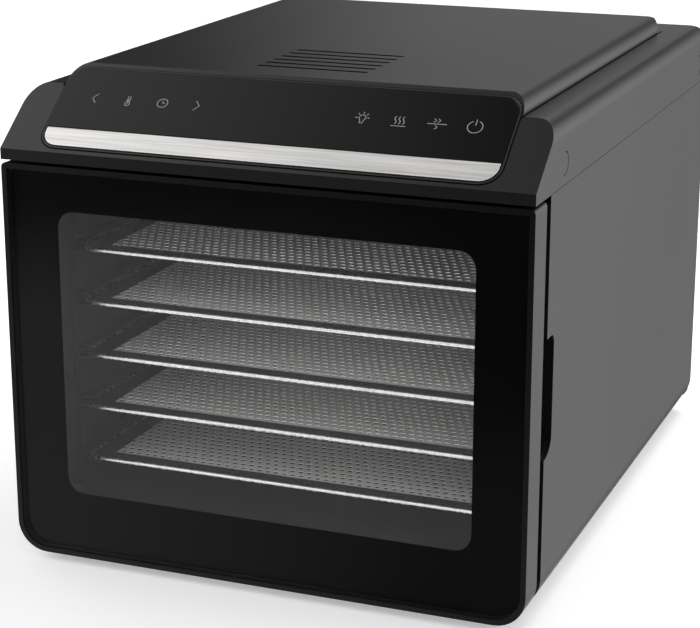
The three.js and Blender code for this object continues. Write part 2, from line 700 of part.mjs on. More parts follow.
function panelBezel() {
  const body = panelPlate(panelOutline(0), [GAP - POCKET_DEPTH, BEZEL_PROUD]);
  const glassSeat = panelPlate(panelOutline(BEZEL_EDGE, STRIP_TOP), [glassBack - GAP, BEZEL_PROUD + REACH]);
  const stripSeat = panelPlate(
    panelOutline(BEZEL_EDGE, PANEL_BOTTOM + BEZEL_EDGE, STRIP_TOP + REACH),
    [BEZEL_PROUD - STRIP_THICKNESS - GAP, BEZEL_PROUD + REACH],
  );
  const window = contactOpening([-2 * POCKET_DEPTH, POCKET_DEPTH]);
  return cut(...[body, glassSeat, stripSeat, window].map(solid));
}

function panelGlass() {
  const outline = panelOutline(BEZEL_EDGE + GAP, STRIP_TOP + GAP, PANEL_TOP - BEZEL_EDGE - GAP);
  return panelPlate(outline, [glassBack, BEZEL_PROUD + FACE_PROUD]);
}

function trimStrip() {
  const outline = panelOutline(STRIP_INSET, PANEL_BOTTOM + STRIP_INSET, STRIP_TOP - GAP);
  return panelPlate(outline, [BEZEL_PROUD - STRIP_THICKNESS, BEZEL_PROUD + FACE_PROUD]);
}

// The touch board carries one sprung contact under each symbol.
function touchBoard() {
  const half = contactHalf - TOUCH_BOARD.play;
  const up = grown([TOUCH_HEIGHT, TOUCH_HEIGHT], TOUCH_BOARD.height / 2);
  const plate = box([-half, half], up, [boardFace - BOARD_THICKNESS, boardFace]);
  const contacts = touchPoints.map((x) =>
    rod(CONTACT_RADIUS, [x, TOUCH_HEIGHT, boardFace - REACH], [x, TOUCH_HEIGHT, glassBack - GAP], 10),
  );
  return joined([plate, ...contacts]);
}

function displayModule() {
  const [width, height] = DISPLAY_SIZE;
  return box(
    [-width / 2, width / 2],
    grown([TOUCH_HEIGHT, TOUCH_HEIGHT], height / 2),
    [boardFace + GAP, glassBack - GAP],
  );
}

// ---------------------------------------------------------------- door
const door = new THREE.Group();
const hinge = [HINGE_SIDE - SIDE, FRONT + HINGE_SETBACK];
door.position.set(hinge[0], hinge[1], 0);
product.add(door);

// Door pieces are drawn where they stand when the door is shut, then taken to the hinge's own place.
function hang(name, shape, material) {
  const geometry = shape.isBufferGeometry ? shape : geometryOf(shape);
  return place(name, geometry.translate(-hinge[0], -hinge[1], 0), material, door);
}

function doorOutline(inset) {
  const lower = LOWER_CORNER - inset;
  const upper = Math.max(DOOR_UPPER_CORNER - inset, SMALLEST_CORNER);
  const heights = [UNDERSIDE + inset, DOOR_TOP - inset];
  return roundedRect([inset - SIDE, SIDE - inset], heights, [lower, lower, upper, upper]);
}

function doorOpening(inset) {
  return roundedRect(
    [DOOR_OPENING_SIDE + inset - SIDE, SIDE - DOOR_OPENING_SIDE - inset],
    [UNDERSIDE + DOOR_OPENING_BOTTOM + inset, DOOR_TOP - DOOR_OPENING_TOP - inset],
    Array(4).fill(DOOR_OPENING_CORNER),
  );
}

function retainerOutline(inset) {
  return roundedRect(
    [RETAINER_SIDE + inset - SIDE, SIDE - RETAINER_SIDE - inset],
    [UNDERSIDE + RETAINER_SIDE + inset, DOOR_TOP - RETAINER_TOP - inset],
    Array(4).fill(RETAINER_CORNER),
  );
}

// A band between two outlines.
function band([outer, inner], depths) {
  return cut(frontal(outer, depths), frontal(inner, grown(depths, REACH)));
}

const hingeArms = [
  { name: "lower", z: UNDERSIDE + HINGE_LOW },
  { name: "upper", z: DOOR_TOP - HINGE_HIGH },
];

const magnet = {
  x: [SIDE - MAGNET.side - MAGNET.width, SIDE - MAGNET.side],
  z: [recess.z[1] + MAGNET_RISE, recess.z[1] + MAGNET_RISE + MAGNET.height],
};

function doorFrame() {
  const body = frontal(doorOutline(0), [FRONT, DOOR_BACK]);
  const glassSeat = frontal(doorOutline(DOOR_RIM), [FRONT - REACH, FRONT + DOOR_GLASS_THICKNESS + 2 * GAP]);
  const opening = frontal(doorOpening(0), [FRONT - REACH, DOOR_BACK + REACH]);
  const retainerSeat = frontal(retainerOutline(0), [DOOR_BACK - RETAINER_THICKNESS, DOOR_BACK + REACH]);
  const slots = hingeArms.flatMap(({ z }) => [
    box(
      [-SIDE - REACH, hinge[0] + HINGE_ARM_REACH[1] + HINGE_SLOT_MARGIN],
      [hinge[1] - HINGE_SIDE, DOOR_BACK + REACH],
      [z - HINGE_SLOT_PLAY, z + HINGE_ARM + HINGE_SLOT_PLAY],
    ),
    hingePin(z, HINGE_PIN_RADIUS + GAP, HINGE_PIN_LENGTH / 2 + GAP),
  ]);
  const magnetDepths = [DOOR_BACK - MAGNET.depth - GAP, DOOR_BACK + REACH];
  const magnetSeat = box(grown(magnet.x, GAP), magnetDepths, grown(magnet.z, GAP));
  return cut(body, glassSeat, opening, retainerSeat, ...slots, magnetSeat);
}

function doorGlass() {
  return frontal(doorOutline(DOOR_RIM + GAP), [FRONT + GAP, FRONT + GAP + DOOR_GLASS_THICKNESS]);
}

// The gasket fills the gap between the shut door and the front frame.
function doorGasket() {
  const edges = [GASKET_INSET, GASKET_INSET + GASKET_WIDTH].map(retainerOutline);
  return band(edges, [DOOR_BACK - GASKET_SEAT, FRAME_FRONT - 2 * GAP]);
}

function hingePin(z, radius, half) {
  const middle = z + HINGE_ARM / 2;
  return rod(radius, [...hinge, middle - half], [...hinge, middle + half], 16);
}

function doorRetainer() {
  const edges = [retainerOutline(GAP), doorOpening(-RETAINER_SETBACK)];
  const body = band(edges, [DOOR_BACK - RETAINER_THICKNESS + GAP, DOOR_BACK]);
  const seat = [GASKET_INSET - GAP, GASKET_INSET + GASKET_WIDTH + GAP].map(retainerOutline);
  return cut(body, band(seat, [DOOR_BACK - GASKET_SEAT - GAP, DOOR_BACK + REACH]));
}

// ---------------------------------------------------------------- front frame, hinge brackets and finger cup
const cup = {
  x: [SIDE - WALL - GAP - CUP_WIDTH, SIDE - WALL - GAP],
  y: [FRAME_FRONT, recess.back + CUP_WALL],
  z: grown(recess.z, CUP_WALL),
};

function fingerCup() {
  const body = box(cup.x, cup.y, cup.z);
  const scoop = sideways(recessOutline(), [cup.x[0] + CUP_WALL, cup.x[1] + REACH]);
  return cut(body, scoop);
}

function frontFrame() {
  const outline = housingOutline(FRAME_INSET, SEAM - GAP);
  const body = frontal(outline, [FRAME_FRONT, FRAME_BACK]);
  const opening = frontal(chamberOutline(0), [FRAME_FRONT - REACH, FRAME_BACK + REACH]);
  const cupSeat = box(
    [cup.x[0] - GAP, SIDE],
    [FRAME_FRONT - REACH, FRAME_BACK + REACH],
    grown(cup.z, GAP),
  );
  const plateDepths = [FRAME_FRONT - REACH, FRAME_FRONT + CATCH_PLATE_THICKNESS + GAP];
  const plateSeat = box(grown(magnet.x, GAP), plateDepths, grown(magnet.z, GAP));
  return cut(body, opening, cupSeat, plateSeat);
}

// Each bracket is an arm that reaches into a slot in the door, on a plate that lies on the front frame.
function hingeBracket(z) {
  const plateBack = FRAME_FRONT - GAP;
  const [outward, inward] = HINGE_ARM_REACH;
  const arm = box([hinge[0] - outward, hinge[0] + inward], [hinge[1], plateBack], [z, z + HINGE_ARM]);
  const eye = rod(HINGE_EYE_RADIUS, [...hinge, z], [...hinge, z + HINGE_ARM], 16);
  const plate = box(
    [hinge[0] + HINGE_PLATE.inset, RETAINER_SIDE + GASKET_INSET - HINGE_PLATE_PLAY - SIDE],
    [plateBack - HINGE_PLATE.thickness, plateBack],
    [z, z + HINGE_PLATE.height],
  );
  const bore = rod(HINGE_PIN_RADIUS + GAP, [...hinge, z - REACH], [...hinge, z + HINGE_ARM + REACH], 16);
  return cut(joined([arm, eye, plate]), bore);
}

// ---------------------------------------------------------------- drying chamber
function chamberOutline(inset) {
  const r = Math.max(CHAMBER_RADIUS - inset, SMALLEST_CORNER);
  const across = [inset - CHAMBER_HALF, CHAMBER_HALF - inset];
  return roundedRect(across, [FLOOR + inset, CEILING - inset], [r, r, r, r]);
}

const ventField = [FRONT + VENT_SETBACK, FRONT + VENT_SETBACK + (VENT_COUNT - 1) * VENT_PITCH];
const lampPoint = [LAMP_PLACE[0], FRONT + LAMP_PLACE[1]];

function chamberLiner() {
  const span = [FRAME_BACK + GAP, CHAMBER_BACK];
  const tube = band([chamberOutline(-LINER_WALL), chamberOutline(0)], span);
  const roof = grown([CEILING, CEILING + LINER_WALL], REACH);
  const outlet = box([-VENT_LENGTH / 2, VENT_LENGTH / 2], ventField, roof);
  const lampHole = rod(LAMP_RADIUS - LAMP_FLANGE, [...lampPoint, roof[0]], [...lampPoint, roof[1]], 20);
  return cut(tube, outlet, lampHole);
}

const trayLevels = Array.from({ length: TRAY_COUNT }, (_, i) => FLOOR + TRAY_LOWEST + i * TRAY_PITCH);

// A rail is a plate with two ribs for each tray, which slides in the channel between them.
function rail(side) {
  const across = (a, b) => (side < 0 ? [-b, -a] : [a, b]);
  const span = [FRAME_BACK + RAIL_END_PLAY, CHAMBER_BACK - GRILLE_THICKNESS - RAIL_END_PLAY];
  const plate = box(
    across(RAIL_INNER, RAIL_INNER + RAIL_THICKNESS),
    span,
    [FLOOR + CHAMBER_RADIUS + RAIL_MARGIN, CEILING - CHAMBER_RADIUS - RAIL_MARGIN],
  );
  const ribs = trayLevels.flatMap((z) => {
    const under = z - TRAY_WIRE / 2 - GAP;
    const over = z + TRAY_WIRE / 2 + RIB_HEADROOM;
    return [
      [under - RIB_THICKNESS, under],
      [over, over + RIB_THICKNESS],
    ].map((heights) => box(across(RAIL_INNER - RIB_REACH, RAIL_INNER + REACH), span, heights));
  });
  return joined([plate, ...ribs]);
}

function fanGrille() {
  const plate = frontal(chamberOutline(GAP), [CHAMBER_BACK - GRILLE_THICKNESS - GAP, CHAMBER_BACK - GAP]);
  const [half, rise] = GRILLE_SLOT.map((s) => s / 2);
  const through = grown([CHAMBER_BACK - GRILLE_THICKNESS, CHAMBER_BACK], REACH);
  const slots = [];
  for (let row = 0; row < GRILLE_ROWS; row += 1) {
    for (let column = 0; column < GRILLE_COLUMNS; column += 1) {
      const x = (column - (GRILLE_COLUMNS - 1) / 2) * GRILLE_SPACING[0];
      const z = MIDDLE + (row - (GRILLE_ROWS - 1) / 2) * GRILLE_SPACING[1];
      slots.push(box([x - half, x + half], through, [z - rise, z + rise]));
    }
  }
  const probe = rod(SENSOR_RADIUS + GAP, sensorPoint(-GRILLE_THICKNESS - REACH), sensorPoint(REACH), 12);
  return cut(plate, ...slots, probe);
}

function sensorPoint(behind) {
  return [CHAMBER_HALF - SENSOR_PLACE[0], CHAMBER_BACK + behind, CEILING - SENSOR_PLACE[1]];
}

// A lens under the ceiling, with its holder in the hole above.
function chamberLamp() {
  const holder = LAMP_RADIUS - LAMP_FLANGE - GAP;
  return turned([
    [0, -LAMP_LENS_DEPTH],
    [LAMP_RADIUS - LAMP_LENS_DEPTH, -LAMP_LENS_DEPTH],
    [LAMP_RADIUS, -GAP],
    [holder, -GAP],
    [holder, LAMP_HOLDER_HEIGHT],
    [0, LAMP_HOLDER_HEIGHT],
  ]);
}

function exhaustDuct() {
  const inner = [[-VENT_LENGTH / 2, VENT_LENGTH / 2], ventField].map((range) => grown(range, DUCT_MARGIN));
  const outer = inner.map((range) => grown(range, DUCT_WALL));
  const heights = [CEILING + LINER_WALL + GAP, HEIGHT - WALL - GAP];
  return cut(box(...outer, heights), box(...inner, grown(heights, REACH)));
}

// ---------------------------------------------------------------- trays
function trayOutline(inset) {
  const r = Math.max(TRAY_CORNER - inset, TRAY_INNER_CORNER);
  return roundedRect([inset - TRAY_HALF, TRAY_HALF - inset], [inset, TRAY_DEPTH - inset], [r, r, r, r]);
}

function slab(outer, inner, heights) {
  return cut(upright(trayOutline(outer), heights, 2), upright(trayOutline(inner), grown(heights, REACH), 2));
}

function trayFrame() {
  const wire = slab(0, TRAY_WIRE, [-TRAY_WIRE / 2, TRAY_WIRE / 2]);
  const half = TRAY_RIM_THICKNESS / 2;
  const rim = slab(TRAY_WIRE / 2, TRAY_WIRE + TRAY_RIM, [-half, half]);
  return wire.add(rim);
}

function trayMesh() {
  const top = -TRAY_RIM_THICKNESS / 2 - GAP;
  return upright(trayOutline(TRAY_WIRE + TRAY_RIM - MESH_LAP), [top - MESH_THICKNESS, top], 2);
}

// ---------------------------------------------------------------- fan heater
function fanShroud() {
  const outer = [
    [SHROUD_MARGIN - CHAMBER_HALF, CHAMBER_HALF - SHROUD_MARGIN],
    [CHAMBER_BACK + GAP, SHROUD_BACK],
    [FLOOR + SHROUD_MARGIN, CEILING - SHROUD_MARGIN],
  ];
  const inner = outer.map((range) => grown(range, -SHROUD_WALL));
  inner[1][0] = outer[1][0] - REACH;
  const [before, behind] = grown([SHROUD_BACK - SHROUD_WALL, SHROUD_BACK], REACH);
  const intake = rod(SHROUD_HOLE, [0, before, MIDDLE], [0, behind, MIDDLE], 28);
  const terminals = heaterEnds().map(([x, z]) => rod(HEATER_TUBE + 1, [x, before, z], [x, behind, z], 10));
  return cut(box(...outer), box(...inner), intake, ...terminals);
}

// The heater tube's two ends, as [x, z] on its circle.
function heaterEnds() {
  return [1, -1].map((side) => {
    const angle = -Math.PI / 2 + (side * radians(HEATER_OPENING)) / 2;
    return [HEATER_RADIUS * Math.cos(angle), MIDDLE + HEATER_RADIUS * Math.sin(angle)];
  });
}

// The tube comes in through the shroud, runs round the fan and goes back out.
function heaterTube() {
  const y = CHAMBER_BACK + HEATER_SETBACK;
  const ring = new THREE.TorusGeometry(HEATER_RADIUS, HEATER_TUBE, 6, 36);
  ring.rotateX(Math.PI / 2).translate(0, y, MIDDLE);
  const reach = HEATER_RADIUS + 2 * HEATER_TUBE;
  const opening = radians(HEATER_OPENING) / 2;
  const wedge = new THREE.Shape();
  wedge.moveTo(0, MIDDLE);
  wedge.lineTo(-reach * Math.tan(opening), MIDDLE - reach);
  wedge.lineTo(reach * Math.tan(opening), MIDDLE - reach);
  wedge.closePath();
  const end = SHROUD_BACK + TERMINAL_LENGTH;
  const legs = heaterEnds().map(([x, z]) => rod(HEATER_TUBE, [x, y, z], [x, end, z], 6));
  return joined([cut(solid(ring), frontal(wedge, [y - reach, y + reach])), ...legs]);
}

// A clip stands on each side wall of the shroud and holds the heater tube in a round eye.
function heaterClip(side) {
  const wall = CHAMBER_HALF - SHROUD_MARGIN - SHROUD_WALL - GAP;
  const y = CHAMBER_BACK + HEATER_SETBACK;
  const inner = HEATER_RADIUS - HEATER_TUBE - CLIP.reach;
  const across = (a, b) => (side < 0 ? [-b, -a] : [a, b]);
  const along = grown([y, y], CLIP.depth / 2);
  const [low, high] = grown([MIDDLE, MIDDLE], CLIP.height / 2);
  const arm = box(across(inner, wall), along, grown([MIDDLE, MIDDLE], CLIP.arm / 2));
  const foot = box(across(wall - CLIP.foot, wall), along, [low, high]);
  const x = side * HEATER_RADIUS;
  const eye = rod(HEATER_TUBE + CLIP.play, [x, y, low], [x, y, high], 12);
  return cut(joined([arm, foot]), eye);
}

const fan = new THREE.Group();
fan.position.set(0, CHAMBER_BACK + FAN_SETBACK, MIDDLE);
product.add(fan);

function fanRotor() {
  const hub = rod(HUB_RADIUS, [0, 0, 0], [0, HUB_LENGTH, 0], 24);
  const blades = Array.from({ length: FAN_BLADES }, (_, i) => {
    const blade = new THREE.BoxGeometry(BLADE_THICKNESS, FAN_CHORD, FAN_RADIUS - HUB_RADIUS / 2);
    blade.translate(0, 0, (FAN_RADIUS + HUB_RADIUS / 2) / 2);
    const pitch = new THREE.Matrix4().makeRotationZ(radians(90 - BLADE_PITCH));
    const spin = new THREE.Matrix4().makeRotationY((i * TURN) / FAN_BLADES);
    return solid(blade.applyMatrix4(pitch).applyMatrix4(spin).translate(0, HUB_LENGTH / 2, 0));
  });
  const bore = rod(SHAFT_RADIUS + GAP, [0, HUB_FACE, 0], [0, HUB_LENGTH + REACH, 0], 16);
  return cut(joined([hub, ...blades]), bore);
}

function motorShaft() {
  const end = MOTOR_FRONT + SHAFT_IN_MOTOR - fan.position.y;
  return rod(SHAFT_RADIUS, [0, HUB_FACE + GAP, 0], [0, end, 0], 16);
}

// A rod on the fan's axis.
function axial(radius, from, to, segments) {
  return rod(radius, [0, from, MIDDLE], [0, to, MIDDLE], segments);
}

function motorBody() {
  const tip = MOTOR_FRONT - MOTOR_NOSE.length;
  const can = axial(MOTOR_RADIUS, MOTOR_FRONT, MOTOR_FRONT + MOTOR_LENGTH, 24);
  const nose = axial(SHAFT_RADIUS + MOTOR_NOSE.wall, tip, MOTOR_FRONT + REACH, 16);
  const bore = axial(SHAFT_RADIUS + GAP, tip - REACH, MOTOR_FRONT + SHAFT_IN_MOTOR + REACH, 16);
  return cut(can.add(nose), bore);
}

// A strap across the shroud's intake carries the motor.
function motorBracket() {
  const half = SHROUD_HOLE + BRACKET_LAP;
  const front = SHROUD_BACK + GAP;
  const back = front + BRACKET_THICKNESS;
  const strap = box([-half, half], [front, back], grown([MIDDLE, MIDDLE], BRACKET_WIDTH / 2));
  const seat = axial(MOTOR_RADIUS + BRACKET_DISC_MARGIN, front, back, 24);
  const hole = axial(SHAFT_RADIUS + MOTOR_NOSE.wall + GAP, front - REACH, back + REACH, 16);
  return cut(strap.add(seat), hole);
}

// What stands on the power board: across, from its front edge, and how tall.
const BOARD_BLOCKS = {
  transformer: { x: [-50, -16], y: [12, 42], height: 26 },
  relay: { x: [2, 22], y: [10, 26], height: 15 },
  heatSink: { x: [-46, 40], y: [62, 66], height: 20 },
};
const BOARD_CAPACITOR = { x: 42, y: 24, radius: 8, height: 22 };

function powerBoard() {
  const low = CEILING + LINER_WALL + POWER_BOARD.rise;
  const top = low + BOARD_THICKNESS;
  const front = ventField[1] + POWER_BOARD.setback;
  const across = [-POWER_BOARD.half, POWER_BOARD.half];
  const along = [front, front + POWER_BOARD.length];
  const plate = box(across, along, [low, top]);
  const blocks = Object.values(BOARD_BLOCKS).map(({ x, y, height }) =>
    box(x, [front + y[0], front + y[1]], [top - REACH, top + height]),
  );
  const { x, y, radius, height } = BOARD_CAPACITOR;
  const capacitor = rod(radius, [x, front + y, top - REACH], [x, front + y, top + height], 14);
  const foot = CEILING + LINER_WALL + GAP;
  const legs = grown(across, -POWER_BOARD_LEG.inset).flatMap((legX) =>
    grown(along, -POWER_BOARD_LEG.inset).map((legY) =>
      rod(POWER_BOARD_LEG.radius, [legX, legY, foot], [legX, legY, low + REACH], 8),
    ),
  );
  return joined([plate, ...blocks, capacitor, ...legs]);
}

// ---------------------------------------------------------------- the assembly
place("outer_shell", outerShell(), MATERIAL.housing);
place("rear_panel", rearPanel(), MATERIAL.housing);
place("top_cover", topCover(), MATERIAL.housing);
place("front_frame", frontFrame(), MATERIAL.trim);
place("finger_cup", fingerCup(), MATERIAL.trim);
for (const { end, x, y } of footPlaces) {
  place(`foot_${end}_${sideName(x)}`, foot(), MATERIAL.rubber).position.set(x, y, 0);
}
for (const { end, x, y } of capPlaces) {
  const cap = place(`side_cap_${end}_${sideName(x)}`, disc(CAP_RADIUS, CAP_THICKNESS), MATERIAL.housing);
  cap.position.set(...capPoint(x, y, -CAP_THICKNESS - CAP_SUNK));
  cap.rotation.z = (-x * Math.PI) / 2;
}
screwPlaces.forEach(({ x, z }, i) => {
  place(`rear_screw_${i + 1}`, rearScrew(), MATERIAL.steel).position.set(x, REAR, z);
});
place("cord_gland", cordGland(), MATERIAL.rubber).position.set(...glandPoint(0));

place("panel_bezel", panelBezel(), MATERIAL.trim, panel);
place("panel_glass", panelGlass(), MATERIAL.panelGlass, panel);
place("trim_strip", trimStrip(), MATERIAL.steel, panel);
place("touch_board", touchBoard(), MATERIAL.board, panel);
place("display_module", displayModule(), MATERIAL.display, panel);

hang("door_frame", doorFrame(), MATERIAL.housing);
hang("door_glass", doorGlass(), MATERIAL.doorGlass);
hang("door_retainer", doorRetainer(), MATERIAL.trim);
hang("door_gasket", doorGasket(), MATERIAL.rubber);
hang("door_magnet", box(magnet.x, [DOOR_BACK - MAGNET.depth, DOOR_BACK - GAP], magnet.z), MATERIAL.motor);
for (const { name, z } of hingeArms) {
  hang(`hinge_pin_${name}`, hingePin(z, HINGE_PIN_RADIUS, HINGE_PIN_LENGTH / 2), MATERIAL.steel);
  place(`hinge_bracket_${name}`, hingeBracket(z), MATERIAL.steel);
}
const catchPlate = box(magnet.x, [FRAME_FRONT, FRAME_FRONT + CATCH_PLATE_THICKNESS], magnet.z);
place("catch_plate", catchPlate, MATERIAL.steel);

place("chamber_liner", chamberLiner(), MATERIAL.liner);
place("rail_left", rail(-1), MATERIAL.liner);
place("rail_right", rail(1), MATERIAL.liner);
place("fan_grille", fanGrille(), MATERIAL.liner);
place("exhaust_duct", exhaustDuct(), MATERIAL.fan);
const lamp = place("chamber_lamp", chamberLamp(), MATERIAL.lamp);
lamp.position.set(...lampPoint, CEILING);
lamp.rotation.x = Math.PI / 2;

trayLevels.forEach((z, i) => {
  const tray = new THREE.Group();
  tray.position.set(0, TRAY_FRONT, z);
  product.add(tray);
  place(`tray_frame_${i + 1}`, trayFrame(), MATERIAL.steel, tray);
  place(`tray_mesh_${i + 1}`, trayMesh(), MATERIAL.steel, tray);
});

place("fan_shroud", fanShroud(), MATERIAL.liner);
place("heater_tube", heaterTube(), MATERIAL.heater);
place("heater_clip_left", heaterClip(-1), MATERIAL.liner);
place("heater_clip_right", heaterClip(1), MATERIAL.liner);
place("fan_rotor", fanRotor(), MATERIAL.fan, fan);
place("motor_shaft", motorShaft(), MATERIAL.steel, fan);
place("motor_body", motorBody(), MATERIAL.motor);
place("motor_bracket", motorBracket(), MATERIAL.steel);
const cutout = place("thermal_cutout", disc(CUTOUT_RADIUS, CUTOUT_HEIGHT), MATERIAL.motor);
cutout.position.set(-SHROUD_HOLE, SHROUD_BACK + GAP, CEILING - SHROUD_MARGIN - CUTOUT_DROP);
place("temperature_sensor", rod(SENSOR_RADIUS, ...SENSOR_REACH.map(sensorPoint), 12), MATERIAL.motor);
place("power_board", powerBoard(), MATERIAL.board);

export default product;
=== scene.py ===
"""A table-top food dehydrator, dressed for a product picture. Metres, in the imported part's own frame."""

import json
import math

import bpy
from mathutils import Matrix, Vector


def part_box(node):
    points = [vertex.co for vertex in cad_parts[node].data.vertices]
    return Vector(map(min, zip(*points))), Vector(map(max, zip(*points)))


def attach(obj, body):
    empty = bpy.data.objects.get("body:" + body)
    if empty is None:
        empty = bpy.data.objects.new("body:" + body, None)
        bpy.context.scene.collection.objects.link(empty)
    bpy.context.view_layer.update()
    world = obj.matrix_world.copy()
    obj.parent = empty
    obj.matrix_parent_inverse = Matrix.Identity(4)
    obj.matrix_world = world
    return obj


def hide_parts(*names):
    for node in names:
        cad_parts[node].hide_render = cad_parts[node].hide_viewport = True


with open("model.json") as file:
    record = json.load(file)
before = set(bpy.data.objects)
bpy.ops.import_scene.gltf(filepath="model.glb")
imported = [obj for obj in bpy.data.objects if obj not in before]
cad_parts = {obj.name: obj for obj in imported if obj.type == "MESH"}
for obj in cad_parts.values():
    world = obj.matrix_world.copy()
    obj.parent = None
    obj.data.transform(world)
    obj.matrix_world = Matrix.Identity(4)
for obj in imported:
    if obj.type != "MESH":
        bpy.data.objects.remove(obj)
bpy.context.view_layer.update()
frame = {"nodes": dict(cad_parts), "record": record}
NODES = frame["nodes"]
MM = 0.001


# ---------------------------------------------------------------- places taken from the frame
class Span:
    """The lowest and highest corner of a CAD node, by axis."""

    def __init__(self, node):
        low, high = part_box(node)
        self.x = (low.x, high.x)
        self.y = (low.y, high.y)
        self.z = (low.z, high.z)


COVER = Span("top_cover")
DOOR = Span("door_frame")
GLASS = Span("door_glass")
LIP_HEIGHT = 7 * MM
SLOPE_RUN = 60 * MM
LIP_TOP = COVER.z[0] + LIP_HEIGHT
SLOPE_ANGLE = math.atan2(COVER.z[1] - LIP_TOP, SLOPE_RUN)
TRAY_COUNT = sum(name.startswith("tray_frame_") for name in NODES)

# The clear window in the door glass, from the glass's edges
WINDOW_SIDE = 32.2 * MM
WINDOW_BOTTOM = 39 * MM
WINDOW_TOP = 25 * MM
WINDOW_CORNER = 11 * MM
PRINT_THICKNESS = 0.15 * MM
PRINT_GAP = 0.02 * MM
PRINT_EDGE = 0.4 * MM  # glass that shows outside the print
PRINT_LOWER_CORNER = 16 * MM
PRINT_UPPER_CORNER = 0.8 * MM
FILM_LAP = 1 * MM

# Trays
TRAY_WIRE_RADIUS = 1.4 * MM
TRAY_CORNER = 12 * MM
TRAY_RIM = 12 * MM
TRAY_RIM_THICKNESS = 0.8 * MM
TRAY_RIM_CORNER = 2 * MM
SLIT_PITCH = (5.8 * MM, 6.6 * MM)  # across a tray and front to back, with every other row set over by half
SLIT_HALF_LENGTH = 0.34  # share of the pitch across
SLIT_HALF_WIDTH = 0.2  # share of the pitch front to back
SLIT_STRAIGHT = 0.6  # share of a slit's length with straight edges, between its pointed ends
SLIT_TILT = 0.15 * MM  # how far the pulled strands stand up behind a slit and down in front of it
SHEET_THICKNESS = 0.5 * MM

# Symbols on the touch panel
SYMBOL_STROKE = 0.5 * MM
SYMBOL_HEIGHT = 0.04 * MM
PANEL_FACE = 0.8 * MM  # the panel glass's face over the slope
# In millimetres, as the symbols are drawn
SYMBOL_ROW = 45.5  # up the slope
TOUCH_FIRST = 124.3  # outermost touch point, from the middle
TOUCH_PITCH = 23.4

# Painted shade on the door frame's face, which darkens it to near black as if little light reached it: how
# far behind the face it begins to fade, and where it ends
FACE_PAINTED_SHADE_FADE = (0.5 * MM, 0.9 * MM)

# Softened edges of the CAD pieces, with widths in millimetres
EDGE_WIDTHS = {"top_cover": 0.45, "outer_shell": 0.5, "door_frame": 0.6, "rear_panel": 0.4, "door_glass": 0.3}
EDGE_WIDTH = 0.25  # of every other piece
EDGE_SEGMENTS = 2
EDGE_DEGREES = 34  # an edge that turns by more than this is softened
FLAT_DEGREES = 0.5  # faces that turn by less than this are one face
WELD_DISTANCE = 0.005 * MM

# Studio: a square floor inside a round backdrop
FLOOR_REACH = 8
FLOOR_GLOW = 0.38
BACKDROP_RADIUS = 7.5
BACKDROP_HEIGHT = 6
BACKDROP_SIDES = 48
BACKDROP_GLOW = 0.55
CHAMBER_LIGHT_SETBACK = 20 * MM
CHAMBER_LIGHT_POWER = 0.25

# Camera, fitted to the view in the photo
FOCAL_LENGTH = 105.04  # millimetres
SENSOR_WIDTH = 36  # millimetres
CAMERA_RIGHT = 0.484  # of the part's middle
CAMERA_IN_FRONT = 1.0756  # of the cover
CAMERA_HEIGHT = 0.5294  # over the shell's foot
CAMERA_DOWN = 16.585  # degrees under the horizon
CAMERA_LEFT = 21.498  # degrees from straight ahead


# ---------------------------------------------------------------- materials
def new_material(name, color, roughness, metallic=0.0):
    """A Principled material with its plain values on the shader's own sockets."""
    material = bpy.data.materials.new(name)
    material.use_nodes = True
    shader = material.node_tree.nodes["Principled BSDF"]
    shader.inputs["Base Color"].default_value = (*color, 1)
    shader.inputs["Roughness"].default_value = roughness
    shader.inputs["Metallic"].default_value = metallic
    return material, material.node_tree, shader


def noise(tree, scale, detail=4, stretch=(1, 1, 1)):
    """Noise in the object's own coordinates, drawn out along an axis by stretch."""
    place = tree.nodes.new("ShaderNodeTexCoord")
    mapping = tree.nodes.new("ShaderNodeMapping")
    mapping.inputs["Scale"].default_value = stretch
    texture = tree.nodes.new("ShaderNodeTexNoise")
    texture.inputs["Scale"].default_value = scale
    texture.inputs["Detail"].default_value = detail
    tree.links.new(place.outputs["Object"], mapping.inputs["Vector"])
    tree.links.new(mapping.outputs["Vector"], texture.inputs["Vector"])
    return texture.outputs["Fac"]


def spread(tree, source, low, high, edges=(0.3, 0.7)):
    """Maps a texture to a range of values."""
    ramp = tree.nodes.new("ShaderNodeMapRange")
    ramp.inputs["From Min"].default_value = edges[0]
    ramp.inputs["From Max"].default_value = edges[1]
    ramp.inputs["To Min"].default_value = low
    ramp.inputs["To Max"].default_value = high
    tree.links.new(source, ramp.inputs["Value"])
    return ramp.outputs["Result"]


def tint(tree, shader, source, dark, light, edges=(0.3, 0.7)):
    """Runs the base colour from dark to light along a texture."""
    ramp = tree.nodes.new("ShaderNodeValToRGB")
    ramp.color_ramp.elements[0].position = edges[0]
    ramp.color_ramp.elements[1].position = edges[1]
    ramp.color_ramp.elements[0].color = (*dark, 1)
    ramp.color_ramp.elements[1].color = (*light, 1)
    tree.links.new(source, ramp.inputs["Fac"])
    tree.links.new(ramp.outputs["Color"], shader.inputs["Base Color"])


def bump(tree, shader, source, strength, distance):
    """Raises the surface by a texture."""
    relief = tree.nodes.new("ShaderNodeBump")
    relief.inputs["Strength"].default_value = strength
    relief.inputs["Distance"].default_value = distance
    tree.links.new(source, relief.inputs["Height"])
    tree.links.new(relief.outputs["Normal"], shader.inputs["Normal"])


def scaled(color, by):
    """A colour made lighter or darker."""
    return tuple(channel * by for channel in color)


